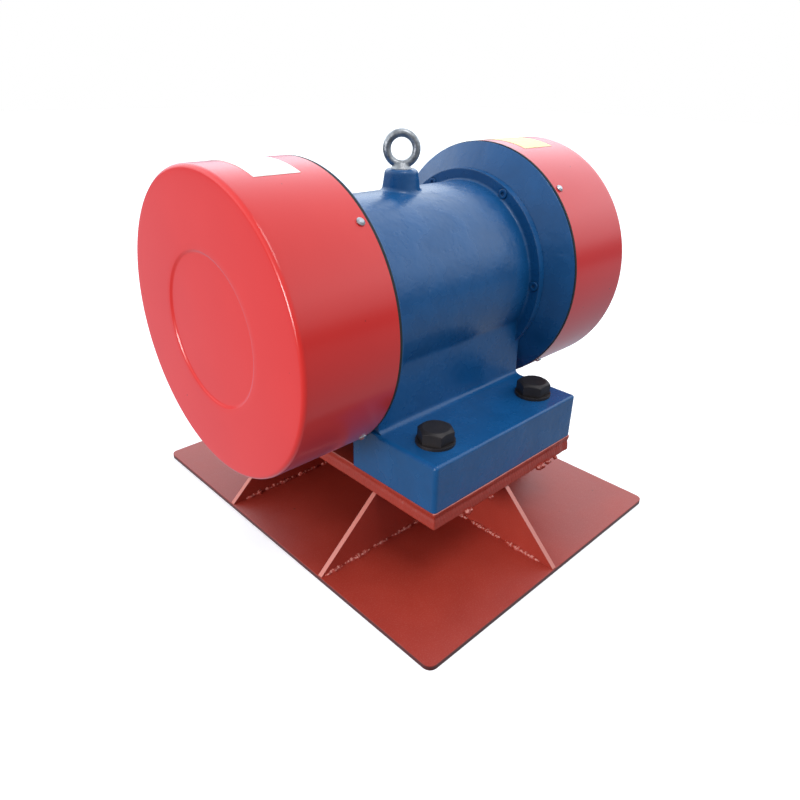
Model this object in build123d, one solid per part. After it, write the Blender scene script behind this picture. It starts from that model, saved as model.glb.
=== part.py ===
from build123d import *
import os
from math import cos, radians, sin, sqrt, tan

# Vibration motor on its welded bracket, in millimetres.
# The origin is the centre of the base plate's underside, +Z is up, the shaft lies along X.

# Bracket
BASE_LENGTH = 350.0
BASE_WIDTH = 450.0
BASE_THICKNESS = 5.0
BASE_CORNER_RADIUS = 8.0
TOP_PLATE_MARGIN_X = 0.5
TOP_PLATE_MARGIN_Y = 1.5
TOP_PLATE_THICKNESS = 18.0
TOP_PLATE_CORNER_RADIUS = 3.0
RIB_HEIGHT = 64.0
RIB_THICKNESS = 5.0
RIB_SPACING = 158.0
RIB_FOOT_INSET = 0.5
RIB_HEAD_INSET = 3.0

# Motor frame casting
CENTRE_HEIGHT = 153.0
BODY_RADIUS = 93.0
BODY_WALL = 9.0
FRAME_LENGTH = 209.0
FLANGE_HEIGHT = 12.0
FLANGE_THICKNESS = 8.0
FLANGE_ROOT_RADIUS = 2.5
SADDLE_END_INSET = 1.0
SADDLE_SIDE_INSET = 10.0
SADDLE_WALL = 13.0
FOOT_HEIGHT = 48.0
FOOT_OVERHANG = 3.0
FOOT_OUTER_WIDTH = 319.0
FOOT_INNER_WIDTH = 100.0
FOOT_SHOULDER = 12.0
FOOT_EDGE_RADIUS = 2.5
FOOT_CORNER_RADIUS = 4.0
FOOT_ROOT_RADIUS = 6.0
SADDLE_ROOT_RADIUS = 12.0
LIFTING_BOSS_RISE = 19.0
LIFTING_BOSS_TOP_RADIUS = 15.5
LIFTING_BOSS_FOOT_RADIUS = 20.0
LIFTING_BOSS_SHOULDER_RADIUS = 4.0
LIFTING_BOSS_ROOT_RADIUS = 4.0

# Foot bolts
FOOT_BOLT_RADIUS = 10.0
FOOT_BOLT_HOLE_RADIUS = 11.0
FOOT_BOLT_SPACING_X = 148.0
FOOT_BOLT_SPACING_Y = 255.0
FOOT_BOLT_SHORTFALL = 2.0
FOOT_BOLT_FLATS = 30.0
FOOT_BOLT_HEAD = 12.5
WASHER_RADIUS = 18.5
WASHER_THICKNESS = 3.0

# Lifting eye bolt
EYE_WIRE_RADIUS = 3.8
EYE_RING_RADIUS = 14.0
EYE_COLLAR_RADIUS = 10.0
EYE_COLLAR_HEIGHT = 6.0
EYE_SHANK_RADIUS = 4.0
EYE_SHANK_LENGTH = 13.0
EYE_TURN = -45.0

# End shields
SHIELD_DISH_DEPTH = 15.5
SHIELD_RIM_WIDTH = 1.5
SHIELD_RIM_STEP = 0.6
SHIELD_SPIGOT_LENGTH = 13.0
SHIELD_SPIGOT_WALL = 8.0
SHIELD_LOCATOR_LENGTH = 4.5
SHIELD_WEB = 11.5
SHIELD_HUB_MARGIN = 2.0
SHIELD_HUB_DRAFT = 5.0
SHIELD_RIBS = 8
SHIELD_RIB_THICKNESS = 7.0
SHIELD_RIB_DROP = 7.0
SHIELD_RIB_OVERLAP = 2.5
SHIELD_SCREWS = 6
SHIELD_SCREW_OFFSET = 5.8
SHIELD_SCREW_RADIUS = 3.0
SHIELD_SCREW_LENGTH = 14.0
SHIELD_SCREW_HEAD_RADIUS = 5.0
SHIELD_SCREW_HEAD = 4.0
SHIELD_SCREW_RECESS = 3.0

# Weight covers
COVER_RADIUS = 131.0
COVER_WALL = 2.0
COVER_SEAL_WIDTH = 2.5
COVER_END_CLEARANCE = 5.4
COVER_CORNER_RADIUS = 4.0
COVER_PANEL_RADIUS = 65.5
COVER_PANEL_DEPTH = 1.5
COVER_PANEL_SLOPE = 3.0
COVER_SCREWS = 4
COVER_SCREW_RADIUS = 2.0
COVER_SCREW_HEAD_RADIUS = 3.6
COVER_SCREW_HEAD = 2.4
COVER_SCREW_INSET = 7.0

# Bearings and their caps
BEARING_BORE_RADIUS = 20.0
BEARING_OUTER_RADIUS = 45.0
BEARING_WIDTH = 33.0
BEARING_INSET = 3.5
ROLLER_RADIUS = 7.0
ROLLER_LENGTH = 24.0
ROLLERS = 12
BEARING_LIP = 2.2
CAGE_THICKNESS = 5.0
CAGE_SIDE = 2.0
CAP_MARGIN = 15.0
CAP_EDGE_CHAMFER = 2.0
CAP_THICKNESS = 7.0
CAP_LIP_WALL = 6.0
CAP_SCREWS = 4
CAP_SCREW_OFFSET = 8.0
CAP_SCREW_RADIUS = 2.5
CAP_SCREW_HEAD_RADIUS = 4.25
CAP_SCREW_HEAD = 5.0

# Stator and rotor
CORE_LENGTH = 100.0
AIR_GAP = 0.5
ROTOR_RADIUS = 47.0
STATOR_SLOTS = 24
STATOR_SLOT_WIDTH = 6.0
STATOR_SLOT_DEPTH = 16.0
SLOT_LIP = 2.0
WINDING_OVERHANG = 24.0
WINDING_RADIAL_DEPTH = 22.0
WINDING_BEVEL = 5.0
SLOT_BAR_INSET = 1.0
ROTOR_BARS = 20
ROTOR_BAR_RADIUS = 2.8
ROTOR_BAR_DEPTH = 4.5
ROTOR_RING_LENGTH = 10.0
ROTOR_RING_DEPTH = 12.0
FAN_BLADES = 10
FAN_BLADE_LENGTH = 10.0
FAN_BLADE_THICKNESS = 3.0

# Shaft
SHAFT_CORE_STEP = 1.5
SHAFT_SHOULDER_STEP = 2.5
SHAFT_WEIGHT_STEP = 2.5
SHAFT_END_CHAMFER = 1.0
CORE_SEAT_MARGIN = 4.0

# Eccentric weights
WEIGHT_THICKNESS = 24.0
WEIGHT_CAP_GAP = 1.5
WEIGHT_GAP = 0.3
WEIGHT_COVER_GAP = 17.0
WEIGHT_HALF_ANGLE = 78.0
WEIGHT_HUB_RADIUS = 32.0
WEIGHT_CORNER_RADIUS = 8.0
KEY_WIDTH = 10.0
KEY_HEIGHT = 8.0
KEY_LENGTH = 20.0
KEY_DEPTH_IN_SHAFT = 5.0
CLAMP_SLIT = 3.0
CLAMP_EAR_WIDTH = 44.0
CLAMP_EAR_MARGIN = 12.0
CLAMP_BOLT_OFFSET = 22.5
CLAMP_BOLT_PROTRUSION = 2.0
CLAMP_BOLT_RADIUS = 5.0
CLAMP_BOLT_FLATS = 16.0
CLAMP_BOLT_HEAD = 6.5
RETAINING_RING_THICKNESS = 2.0
RETAINING_RING_DEPTH = 1.5
RETAINING_RING_HEIGHT = 4.0
RETAINING_RING_GAP = 9.0
SHAFT_END_MARGIN = 4.0

# Terminal box
BOX_LENGTH = 104.0
BOX_DEPTH = 62.0
BOX_HEIGHT = 54.0
BOX_WALL = 4.0
BOX_CORNER_RADIUS = 7.0
BOX_DROP = 28.0
PAD_LENGTH = 86.0
PAD_HEIGHT = 52.0
PAD_RISE = 4.0
PAD_CORNER_RADIUS = 6.0
GASKET_THICKNESS = 1.5
WIRE_HOLE_RADIUS = 11.0
BOX_SCREW_INSET_X = 11.0
BOX_SCREW_INSET_Z = 9.0
BOX_SCREW_RADIUS = 3.0
BOX_SCREW_HEAD_RADIUS = 5.0
BOX_SCREW_HEAD = 5.0
BOX_SCREW_LENGTH = 14.0
LID_THICKNESS = 8.0
LID_EDGE_RADIUS = 3.0
LID_POST_RADIUS = 5.5
LID_SCREW_RADIUS = 2.0
LID_SCREW_LENGTH = 24.0
LID_SCREW_HEAD_RADIUS = 3.6
LID_SCREW_HEAD = 2.6
BLOCK_LENGTH = 60.0
BLOCK_WIDTH = 30.0
BLOCK_HEIGHT = 12.0
BLOCK_BARRIER = 4.0
BLOCK_BARRIER_THICKNESS = 2.0
STUD_RADIUS = 2.5
STUD_LENGTH = 26.0
STUD_PITCH_X = 20.0
STUD_PITCH_Y = 14.0
STUD_NUT_FLATS = 8.0
STUD_NUT_HEIGHT = 4.0
GLAND_THREAD_RADIUS = 10.0
GLAND_FLATS = 24.0
GLAND_FLANGE = 6.0
GLAND_STEM = 9.0
GLAND_BORE_RADIUS = 6.0
GLAND_NUT_CROWN = 1.4
GLAND_SEAL_LENGTH = 7.0
GLAND_SEAL_WALL = 2.4

# Clearances
FIT_CLEARANCE = 0.02
RUNNING_CLEARANCE = 0.05
ROLLING_CLEARANCE = 0.1
SCREW_CLEARANCE = 0.05
COVER_CLEARANCE = 0.1
SEAL_CLEARANCE = 0.3
SLOT_CLEARANCE = 0.3

# Places that follow from the driving sizes
TOP_PLATE_BOTTOM = BASE_THICKNESS + RIB_HEIGHT
FOOT_BOTTOM = TOP_PLATE_BOTTOM + TOP_PLATE_THICKNESS
FOOT_TOP = FOOT_BOTTOM + FOOT_HEIGHT
SHAFT_Z = FOOT_BOTTOM + CENTRE_HEIGHT
FLANGE_RADIUS = BODY_RADIUS + FLANGE_HEIGHT
SADDLE_LENGTH = FRAME_LENGTH - 2 * SADDLE_END_INSET
FOOT_LENGTH = SADDLE_LENGTH + 2 * FOOT_OVERHANG
SADDLE_WIDTH = 2 * (BODY_RADIUS - SADDLE_SIDE_INSET)
TOP_PLATE_LENGTH = FOOT_LENGTH + 2 * TOP_PLATE_MARGIN_X
TOP_PLATE_WIDTH = FOOT_OUTER_WIDTH + 2 * TOP_PLATE_MARGIN_Y
BORE_RADIUS = BODY_RADIUS - BODY_WALL
FRAME_END = FRAME_LENGTH / 2
FLANGE_START = FRAME_END - FLANGE_THICKNESS
BOSS_TOP = SHAFT_Z + BODY_RADIUS + LIFTING_BOSS_RISE
FOOT_BOLT_LENGTH = WASHER_THICKNESS + FOOT_HEIGHT + TOP_PLATE_THICKNESS - FOOT_BOLT_SHORTFALL
SHIELD_SCREW_CIRCLE_RADIUS = BODY_RADIUS + SHIELD_SCREW_OFFSET
RIM_FRONT = FRAME_END + SHIELD_DISH_DEPTH
RIM_BACK = RIM_FRONT + SHIELD_RIM_WIDTH
RIM_RADIUS = COVER_RADIUS - SHIELD_RIM_STEP
COVER_START = RIM_BACK + COVER_SEAL_WIDTH
COVER_INNER_RADIUS = COVER_RADIUS - COVER_WALL
SPIGOT_RADIUS = COVER_INNER_RADIUS - COVER_CLEARANCE
SPIGOT_END = COVER_START + SHIELD_SPIGOT_LENGTH
SPIGOT_BORE_RADIUS = SPIGOT_RADIUS - SHIELD_SPIGOT_WALL
SHIELD_INNER_FACE = FRAME_END - SHIELD_LOCATOR_LENGTH
WEB_BACK = FRAME_END + SHIELD_WEB
BEARING_START = SHIELD_INNER_FACE + BEARING_INSET
BEARING_END = BEARING_START + BEARING_WIDTH
ROLLER_PITCH_RADIUS = (BEARING_BORE_RADIUS + BEARING_OUTER_RADIUS) / 2
BEARING_CENTRE = BEARING_START + BEARING_WIDTH / 2
SHIELD_HUB_END = BEARING_END + BEARING_INSET
CAP_RADIUS = BEARING_OUTER_RADIUS + CAP_MARGIN
CAP_SCREW_CIRCLE_RADIUS = BEARING_OUTER_RADIUS + CAP_SCREW_OFFSET
SHIELD_HUB_RADIUS = CAP_RADIUS + SHIELD_HUB_MARGIN
INNER_CAP_FACE = SHIELD_INNER_FACE - CAP_THICKNESS
OUTER_CAP_FACE = SHIELD_HUB_END + CAP_THICKNESS
CAP_SPIGOT_RADIUS = BEARING_OUTER_RADIUS - RUNNING_CLEARANCE
SHAFT_SHOULDER_RADIUS = BEARING_BORE_RADIUS + SHAFT_SHOULDER_STEP
SHAFT_CORE_RADIUS = SHAFT_SHOULDER_RADIUS + SHAFT_CORE_STEP
SHAFT_WEIGHT_RADIUS = BEARING_BORE_RADIUS - SHAFT_WEIGHT_STEP
CAP_BORE_RADIUS = SHAFT_SHOULDER_RADIUS + SEAL_CLEARANCE
OUTER_CAP_BORE_RADIUS = BEARING_BORE_RADIUS + SEAL_CLEARANCE
COVER_SCREW_X = COVER_START + COVER_SCREW_INSET
CORE_HALF = CORE_LENGTH / 2
STATOR_BORE_RADIUS = ROTOR_RADIUS + AIR_GAP
WEIGHT_START = OUTER_CAP_FACE + CAP_SCREW_HEAD + WEIGHT_CAP_GAP
ADJUSTABLE_START = WEIGHT_START + WEIGHT_THICKNESS + WEIGHT_GAP
RING_START = ADJUSTABLE_START + WEIGHT_THICKNESS + WEIGHT_GAP
SHAFT_END = RING_START + RETAINING_RING_THICKNESS + SHAFT_END_MARGIN
COVER_END = SHAFT_END + COVER_END_CLEARANCE + COVER_PANEL_DEPTH + COVER_WALL
WEIGHT_RADIUS = COVER_INNER_RADIUS - WEIGHT_COVER_GAP
CLAMP_BOLT_HEIGHT = SHAFT_WEIGHT_RADIUS + CLAMP_BOLT_OFFSET
CLAMP_EAR_TOP = CLAMP_BOLT_HEIGHT + CLAMP_EAR_MARGIN
RETAINING_RING_RADIUS = SHAFT_WEIGHT_RADIUS + RETAINING_RING_HEIGHT
PAD_FACE = BODY_RADIUS + PAD_RISE
BOX_FRONT = PAD_FACE + GASKET_THICKNESS
BOX_BACK = BOX_FRONT + BOX_DEPTH
BOX_BOTTOM = SHAFT_Z - BOX_DROP
BOX_TOP = BOX_BOTTOM + BOX_HEIGHT
BOX_MIDDLE = (BOX_FRONT + BOX_BACK) / 2
BOX_FLOOR = BOX_BOTTOM + BOX_WALL
LID_BOTTOM = BOX_TOP + GASKET_THICKNESS
LID_TOP = LID_BOTTOM + LID_THICKNESS
BOX_SEAT = BOX_FRONT + BOX_WALL
BOX_SCREW_TIP = BOX_SEAT - BOX_SCREW_LENGTH
GLAND_Z = BOX_BOTTOM + BOX_HEIGHT / 2
GLAND_NUT_START = BOX_BACK + GLAND_FLANGE + SEAL_CLEARANCE
GLAND_STEM_END = BOX_BACK + GLAND_FLANGE + GLAND_STEM
GLAND_NUT_LENGTH = GLAND_STEM + GLAND_SEAL_LENGTH + SEAL_CLEARANCE + GLAND_NUT_CROWN


def hexagon_radius(flats):
    """Corner radius of a hexagon that measures this much across its flats."""
    return flats / sqrt(3)


def turned(points):
    """A solid of revolution about the shaft axis, from (place along X, radius) points."""
    return turned_face(Plane.XZ * make_face(Polyline(*points, close=True)))


def turned_face(face):
    """Revolves a face drawn in the XZ plane about the X axis and lifts it to the shaft's height."""
    return Pos(0, 0, SHAFT_Z) * revolve(face, Axis.X)


def tube(start, end, outer, inner=0.0):
    """A plain tube or disc on the shaft axis between two places along X."""
    return turned([(start, inner), (start, outer), (end, outer), (end, inner)])


def round_bar_x(start, end, radius, y=0.0, z=0.0):
    """A round bar along X, its axis at y and at z above the shaft axis."""
    return Pos((start + end) / 2, y, SHAFT_Z + z) * Rot(0, 90, 0) * Cylinder(radius, end - start)


def round_bar_z(bottom, top, radius, x=0.0, y=0.0):
    """An upright round bar."""
    return Pos(x, y, (bottom + top) / 2) * Cylinder(radius, top - bottom)


def round_bar_y(start, end, radius, x=0.0, z=0.0):
    """A round bar along Y at height z."""
    return Pos(x, (start + end) / 2, z) * Rot(90, 0, 0) * Cylinder(radius, end - start)


def about_shaft(solid, angle):
    """Turns a solid about the shaft axis."""
    return Pos(0, 0, SHAFT_Z) * Rot(angle, 0, 0) * Pos(0, 0, -SHAFT_Z) * solid


def ring_of(solid, count, first=0.0):
    """Copies of a solid, evenly spaced about the shaft axis."""
    return [about_shaft(solid, first + i * 360 / count) for i in range(count)]


def rounded_block(length, width, height, corner):
    """A block with its four upright edges rounded, centred on its own middle."""
    block = Box(length, width, height)
    return fillet(block.edges().filter_by(Axis.Z), corner)


def hexagon_head(flats, height):
    """A hexagon prism standing on z = 0, its top corners turned off at 30 degrees."""
    corner = hexagon_radius(flats)
    prism = extrude(RegularPolygon(corner, 6), amount=height)
    drop = (corner - flats / 2) * 2 * tan(radians(30))
    edge = flats / 2 - drop / tan(radians(30)) / 2
    cone = make_face(Plane.XZ * Polyline(
        (0, 0), (corner, 0), (corner, height - drop), (edge, height), (0, height), close=True))
    return prism & revolve(cone, Axis.Z)


def both_sides(node, right):
    """The right-hand piece and its mirror image, as two named nodes."""
    return {node + "_right": right, node + "_left": mirror(right, about=Plane.YZ)}


def group(solids):
    return Compound(children=list(solids))


def base_plate():
    plate = rounded_block(BASE_LENGTH, BASE_WIDTH, BASE_THICKNESS, BASE_CORNER_RADIUS)
    return Pos(0, 0, BASE_THICKNESS / 2) * plate


def long_rib(y):
    """A rib along the shaft, its ends sloping from the base plate's edge to the top plate's edge."""
    foot = BASE_LENGTH / 2 - RIB_FOOT_INSET
    head = TOP_PLATE_LENGTH / 2 - RIB_HEAD_INSET
    outline = Plane.XZ * Polyline(
        (-foot, BASE_THICKNESS), (foot, BASE_THICKNESS), (head, TOP_PLATE_BOTTOM), (-head, TOP_PLATE_BOTTOM),
        close=True)
    return Pos(0, y, 0) * extrude(make_face(outline), amount=RIB_THICKNESS / 2, both=True)


def cross_rib(side):
    """A rib across the shaft, from a long rib out to the base plate's edge."""
    root = RIB_SPACING / 2 + RIB_THICKNESS / 2
    foot = BASE_WIDTH / 2 - RIB_FOOT_INSET
    head = TOP_PLATE_WIDTH / 2 - RIB_HEAD_INSET
    outline = Plane.YZ * Polyline(
        (side * root, BASE_THICKNESS), (side * foot, BASE_THICKNESS),
        (side * head, TOP_PLATE_BOTTOM), (side * root, TOP_PLATE_BOTTOM), close=True)
    return extrude(make_face(outline), amount=RIB_THICKNESS / 2, both=True)


def middle_rib():
    """The part of the cross rib between the two long ribs."""
    span = RIB_SPACING - RIB_THICKNESS
    return Pos(0, 0, BASE_THICKNESS + RIB_HEIGHT / 2) * Box(RIB_THICKNESS, span, RIB_HEIGHT)


def foot_bolt_places():
    return [(x * FOOT_BOLT_SPACING_X / 2, y * FOOT_BOLT_SPACING_Y / 2) for x in (-1, 1) for y in (-1, 1)]


def top_plate():
    plate = rounded_block(TOP_PLATE_LENGTH, TOP_PLATE_WIDTH, TOP_PLATE_THICKNESS, TOP_PLATE_CORNER_RADIUS)
    plate = Pos(0, 0, TOP_PLATE_BOTTOM + TOP_PLATE_THICKNESS / 2) * plate
    for x, y in foot_bolt_places():
        plate -= round_bar_z(TOP_PLATE_BOTTOM, FOOT_BOTTOM, FOOT_BOLT_RADIUS + SCREW_CLEARANCE, x, y)
    return plate


def saddle_section():
    """Cross section of the casting: a round body on two walls that stand on feet, with an arch between."""
    half = FOOT_INNER_WIDTH / 2
    inner_wall = SADDLE_WIDTH / 2 - SADDLE_WALL
    body = Pos(0, SHAFT_Z) * Circle(BODY_RADIUS)
    walls = Pos(0, (FOOT_TOP + SHAFT_Z) / 2) * Rectangle(SADDLE_WIDTH, SHAFT_Z - FOOT_TOP)
    feet = Pos(0, FOOT_BOTTOM + FOOT_HEIGHT / 2) * Rectangle(FOOT_OUTER_WIDTH, FOOT_HEIGHT)
    shoulder = FOOT_TOP - FOOT_SHOULDER
    arch = make_face(Polyline(
        (-half, FOOT_BOTTOM), (half, FOOT_BOTTOM), (half, shoulder),
        (inner_wall, shoulder + inner_wall - half), (inner_wall, SHAFT_Z),
        (-inner_wall, SHAFT_Z), (-inner_wall, shoulder + inner_wall - half), (-half, shoulder), close=True))
    section = body + walls + feet - (arch - body)
    junction = SHAFT_Z - sqrt(BODY_RADIUS ** 2 - (SADDLE_WIDTH / 2) ** 2)
    for y, z, radius in (
            (SADDLE_WIDTH / 2, junction, SADDLE_ROOT_RADIUS),
            (SADDLE_WIDTH / 2, FOOT_TOP, FOOT_ROOT_RADIUS),
            (FOOT_OUTER_WIDTH / 2, FOOT_TOP, FOOT_EDGE_RADIUS)):
        corners = [v for v in section.vertices() if abs(abs(v.X) - y) < 0.01 and abs(v.Y - z) < 0.01]
        section = fillet(corners, radius)
    return section


def frame_barrel():
    """The turned part of the casting: the body between its two end flanges."""
    right = [
        (FLANGE_START, BODY_RADIUS), (FLANGE_START, FLANGE_RADIUS), (FRAME_END, FLANGE_RADIUS), (FRAME_END, 0)]
    left = [(-x, r) for x, r in reversed(right)]
    barrel = turned(left + right)
    roots = [e for e in barrel.edges().filter_by(GeomType.CIRCLE)
             if abs(e.radius - BODY_RADIUS) < 0.01 and abs(abs(e.center().X) - FLANGE_START) < 0.01]
    return fillet(roots, FLANGE_ROOT_RADIUS)


def lifting_boss():
    foot = SHAFT_Z + BORE_RADIUS
    boss = Cone(LIFTING_BOSS_FOOT_RADIUS, LIFTING_BOSS_TOP_RADIUS, BOSS_TOP - foot)
    boss = Pos(0, 0, (BOSS_TOP + foot) / 2) * boss
    return fillet(boss.edges().sort_by(Axis.Z)[-1], LIFTING_BOSS_SHOULDER_RADIUS)


def bossed_barrel():
    """The barrel with its lifting boss, whose root runs into the body in a fillet."""
    barrel = frame_barrel() + lifting_boss()
    roots = [e for e in barrel.edges()
             if abs(e.center().X) < LIFTING_BOSS_TOP_RADIUS and SHAFT_Z < e.center().Z < SHAFT_Z + BODY_RADIUS
             and e.bounding_box().size.X < 2 * LIFTING_BOSS_FOOT_RADIUS]
    return fillet(roots, LIFTING_BOSS_ROOT_RADIUS)


def terminal_pad():
    pad = extrude(Plane.XZ * RectangleRounded(PAD_LENGTH, PAD_HEIGHT, PAD_CORNER_RADIUS), amount=-PAD_FACE)
    return Pos(0, 0, SHAFT_Z) * pad


def box_screw_places():
    x = PAD_LENGTH / 2 - BOX_SCREW_INSET_X
    z = PAD_HEIGHT / 2 - BOX_SCREW_INSET_Z
    return [(i * x, SHAFT_Z + j * z) for i in (-1, 1) for j in (-1, 1)]


def motor_frame():
    """The cast frame: body, flanges, saddle, feet, lifting boss and terminal pad, bored through."""
    saddle = extrude(Plane.YZ * saddle_section(), amount=FOOT_LENGTH / 2, both=True)
    corners = [e for e in saddle.edges().filter_by(Axis.Z) if abs(e.center().Y) > FOOT_OUTER_WIDTH / 2 - 0.01]
    saddle = fillet(corners, FOOT_CORNER_RADIUS)
    above = Box(FOOT_OVERHANG, 2 * FLANGE_RADIUS, 2 * FLANGE_RADIUS)
    for end in (-1, 1):
        saddle -= Pos(end * (SADDLE_LENGTH + FOOT_OVERHANG) / 2, 0, FOOT_TOP + FLANGE_RADIUS) * above
    frame = saddle + bossed_barrel() + terminal_pad()
    frame -= tube(-FRAME_END, FRAME_END, BORE_RADIUS)
    for x, y in foot_bolt_places():
        frame -= round_bar_z(FOOT_BOTTOM, FOOT_TOP, FOOT_BOLT_HOLE_RADIUS, x, y)
    tap_bottom = BOSS_TOP - EYE_SHANK_LENGTH - SCREW_CLEARANCE
    frame -= round_bar_z(tap_bottom, BOSS_TOP, EYE_SHANK_RADIUS + SCREW_CLEARANCE)
    z = SHIELD_SCREW_CIRCLE_RADIUS
    pocket_start = FLANGE_START - FLANGE_ROOT_RADIUS
    pocket_end = FLANGE_START + SHIELD_SCREW_RECESS
    hole = round_bar_x(pocket_start, FRAME_END, SHIELD_SCREW_RADIUS + SCREW_CLEARANCE, z=z)
    hole += round_bar_x(pocket_start, pocket_end, SHIELD_SCREW_HEAD_RADIUS + SEAL_CLEARANCE, z=z)
    for cut in ring_of(hole, SHIELD_SCREWS, 30):
        frame -= cut
        frame -= mirror(cut, about=Plane.YZ)
    frame -= round_bar_y(0, PAD_FACE, WIRE_HOLE_RADIUS, 0, SHAFT_Z)
    for x, z in box_screw_places():
        tap = BOX_SCREW_TIP - SCREW_CLEARANCE
        frame -= round_bar_y(tap, PAD_FACE, BOX_SCREW_RADIUS + SCREW_CLEARANCE, x, z)
    return frame


def shield_rib():
    """One stiffening rib on the shield's outer side, from the hub to the rim, at the top of the circle."""
    inner = SHIELD_HUB_RADIUS - SHIELD_RIB_OVERLAP
    outer = SPIGOT_BORE_RADIUS + SHIELD_RIB_OVERLAP
    outline = Plane.XZ * Polyline(
        (FRAME_END, inner), (SHIELD_HUB_END - SHIELD_RIB_DROP, inner), (SPIGOT_END - SHIELD_RIB_DROP, outer),
        (RIM_FRONT, outer), (FRAME_END, FLANGE_RADIUS - SHIELD_RIB_OVERLAP), close=True)
    return Pos(0, 0, SHAFT_Z) * extrude(make_face(outline), amount=SHIELD_RIB_THICKNESS / 2, both=True)


def end_shield():
    """The right-hand shield: a dished plate with a rim for the cover, a locating spigot and a bearing hub."""
    bore = BEARING_OUTER_RADIUS + FIT_CLEARANCE
    shield = turned([
        (SHIELD_INNER_FACE, bore), (SHIELD_INNER_FACE, BORE_RADIUS - FIT_CLEARANCE),
        (FRAME_END, BORE_RADIUS - FIT_CLEARANCE), (FRAME_END, FLANGE_RADIUS),
        (RIM_FRONT, RIM_RADIUS), (RIM_BACK, RIM_RADIUS), (RIM_BACK, SPIGOT_RADIUS),
        (SPIGOT_END, SPIGOT_RADIUS), (SPIGOT_END, SPIGOT_BORE_RADIUS), (COVER_START, SPIGOT_BORE_RADIUS),
        (WEB_BACK, FLANGE_RADIUS), (WEB_BACK, SHIELD_HUB_RADIUS + SHIELD_HUB_DRAFT),
        (SHIELD_HUB_END, SHIELD_HUB_RADIUS), (SHIELD_HUB_END, bore)])
    for rib in ring_of(shield_rib(), SHIELD_RIBS, 22.5):
        shield += rib
    thread_end = FLANGE_START + SHIELD_SCREW_RECESS + SHIELD_SCREW_LENGTH + SCREW_CLEARANCE
    thread = round_bar_x(
        FRAME_END, thread_end, SHIELD_SCREW_RADIUS + SCREW_CLEARANCE, z=SHIELD_SCREW_CIRCLE_RADIUS)
    for cut in ring_of(thread, SHIELD_SCREWS, 30):
        shield -= cut
    for cut in ring_of(cap_screw_hole(SHIELD_INNER_FACE, SHIELD_HUB_END), CAP_SCREWS, 45):
        shield -= cut
    for cut in ring_of(cover_screw_hole(SPIGOT_BORE_RADIUS, SPIGOT_RADIUS), COVER_SCREWS, 45):
        shield -= cut
    return shield


def cover_screw_hole(inner, outer):
    """A radial hole through the cover's skirt or the shield's spigot, at the top of the circle."""
    middle = (inner + outer) / 2
    length = outer - inner + COVER_WALL
    hole = Cylinder(COVER_SCREW_RADIUS + SCREW_CLEARANCE, length)
    return Pos(COVER_SCREW_X, 0, SHAFT_Z + middle) * hole


def cover_seal():
    """The rubber ring on the shield's spigot, between the shield's rim and the cover's."""
    return tube(RIM_BACK, COVER_START, COVER_RADIUS, SPIGOT_RADIUS + FIT_CLEARANCE)


def weight_cover():
    """The pressed sheet cover: a cup with a rounded corner and a shallow round panel in its end."""
    slope_start = COVER_PANEL_RADIUS + COVER_PANEL_SLOPE / 2
    slope_end = COVER_PANEL_RADIUS - COVER_PANEL_SLOPE / 2
    panel = COVER_END - COVER_PANEL_DEPTH
    inner_end = COVER_END - COVER_WALL
    face = make_face(Polyline(
        (COVER_START, COVER_INNER_RADIUS), (COVER_START, COVER_RADIUS), (COVER_END, COVER_RADIUS),
        (COVER_END, slope_start), (panel, slope_end), (panel, 0), (panel - COVER_WALL, 0),
        (panel - COVER_WALL, slope_end), (inner_end, slope_start), (inner_end, COVER_INNER_RADIUS),
        close=True))
    for x, r, radius in ((COVER_END, COVER_RADIUS, COVER_CORNER_RADIUS),
                         (inner_end, COVER_INNER_RADIUS, COVER_CORNER_RADIUS - COVER_WALL)):
        corner = [v for v in face.vertices() if abs(v.X - x) < 0.01 and abs(v.Y - r) < 0.01]
        face = fillet(corner, radius)
    cover = turned_face(Plane.XZ * face)
    for cut in ring_of(cover_screw_hole(COVER_INNER_RADIUS, COVER_RADIUS), COVER_SCREWS, 45):
        cover -= cut
    return cover


def cover_screws():
    """Pan-head screws that hold the cover's skirt to the shield's spigot."""
    edge = COVER_RADIUS + COVER_SCREW_HEAD / 2
    top = COVER_RADIUS + COVER_SCREW_HEAD
    profile = make_face(Plane.XZ * Polyline(
        (0, SPIGOT_BORE_RADIUS), (COVER_SCREW_RADIUS, SPIGOT_BORE_RADIUS), (COVER_SCREW_RADIUS, COVER_RADIUS),
        (COVER_SCREW_HEAD_RADIUS, COVER_RADIUS), (COVER_SCREW_HEAD_RADIUS, edge), (COVER_SCREW_RADIUS, top),
        (0, top), close=True))
    screw = Pos(COVER_SCREW_X, 0, SHAFT_Z) * revolve(profile, Axis.Z)
    right = ring_of(screw, COVER_SCREWS, 45)
    return group(right + [mirror(s, about=Plane.YZ) for s in right])


def shield_screws():
    """Low socket screws through the frame's flange into the shield."""
    seat = FLANGE_START + SHIELD_SCREW_RECESS
    z = SHIELD_SCREW_CIRCLE_RADIUS
    screw = round_bar_x(seat, seat + SHIELD_SCREW_LENGTH, SHIELD_SCREW_RADIUS, z=z)
    screw += round_bar_x(seat - SHIELD_SCREW_HEAD, seat, SHIELD_SCREW_HEAD_RADIUS, z=z)
    socket = extrude(RegularPolygon(hexagon_radius(SHIELD_SCREW_RADIUS + 1), 6), amount=SHIELD_SCREW_HEAD / 2)
    screw -= Pos(seat - SHIELD_SCREW_HEAD, 0, SHAFT_Z + z) * Rot(0, 90, 0) * socket
    right = ring_of(screw, SHIELD_SCREWS, 30)
    return group(right + [mirror(s, about=Plane.YZ) for s in right])


def cap_screw_hole(start, end):
    """A hole for one bearing cap screw, at the top of the screw circle."""
    return round_bar_x(start, end, CAP_SCREW_RADIUS + SCREW_CLEARANCE, z=CAP_SCREW_CIRCLE_RADIUS)


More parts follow.
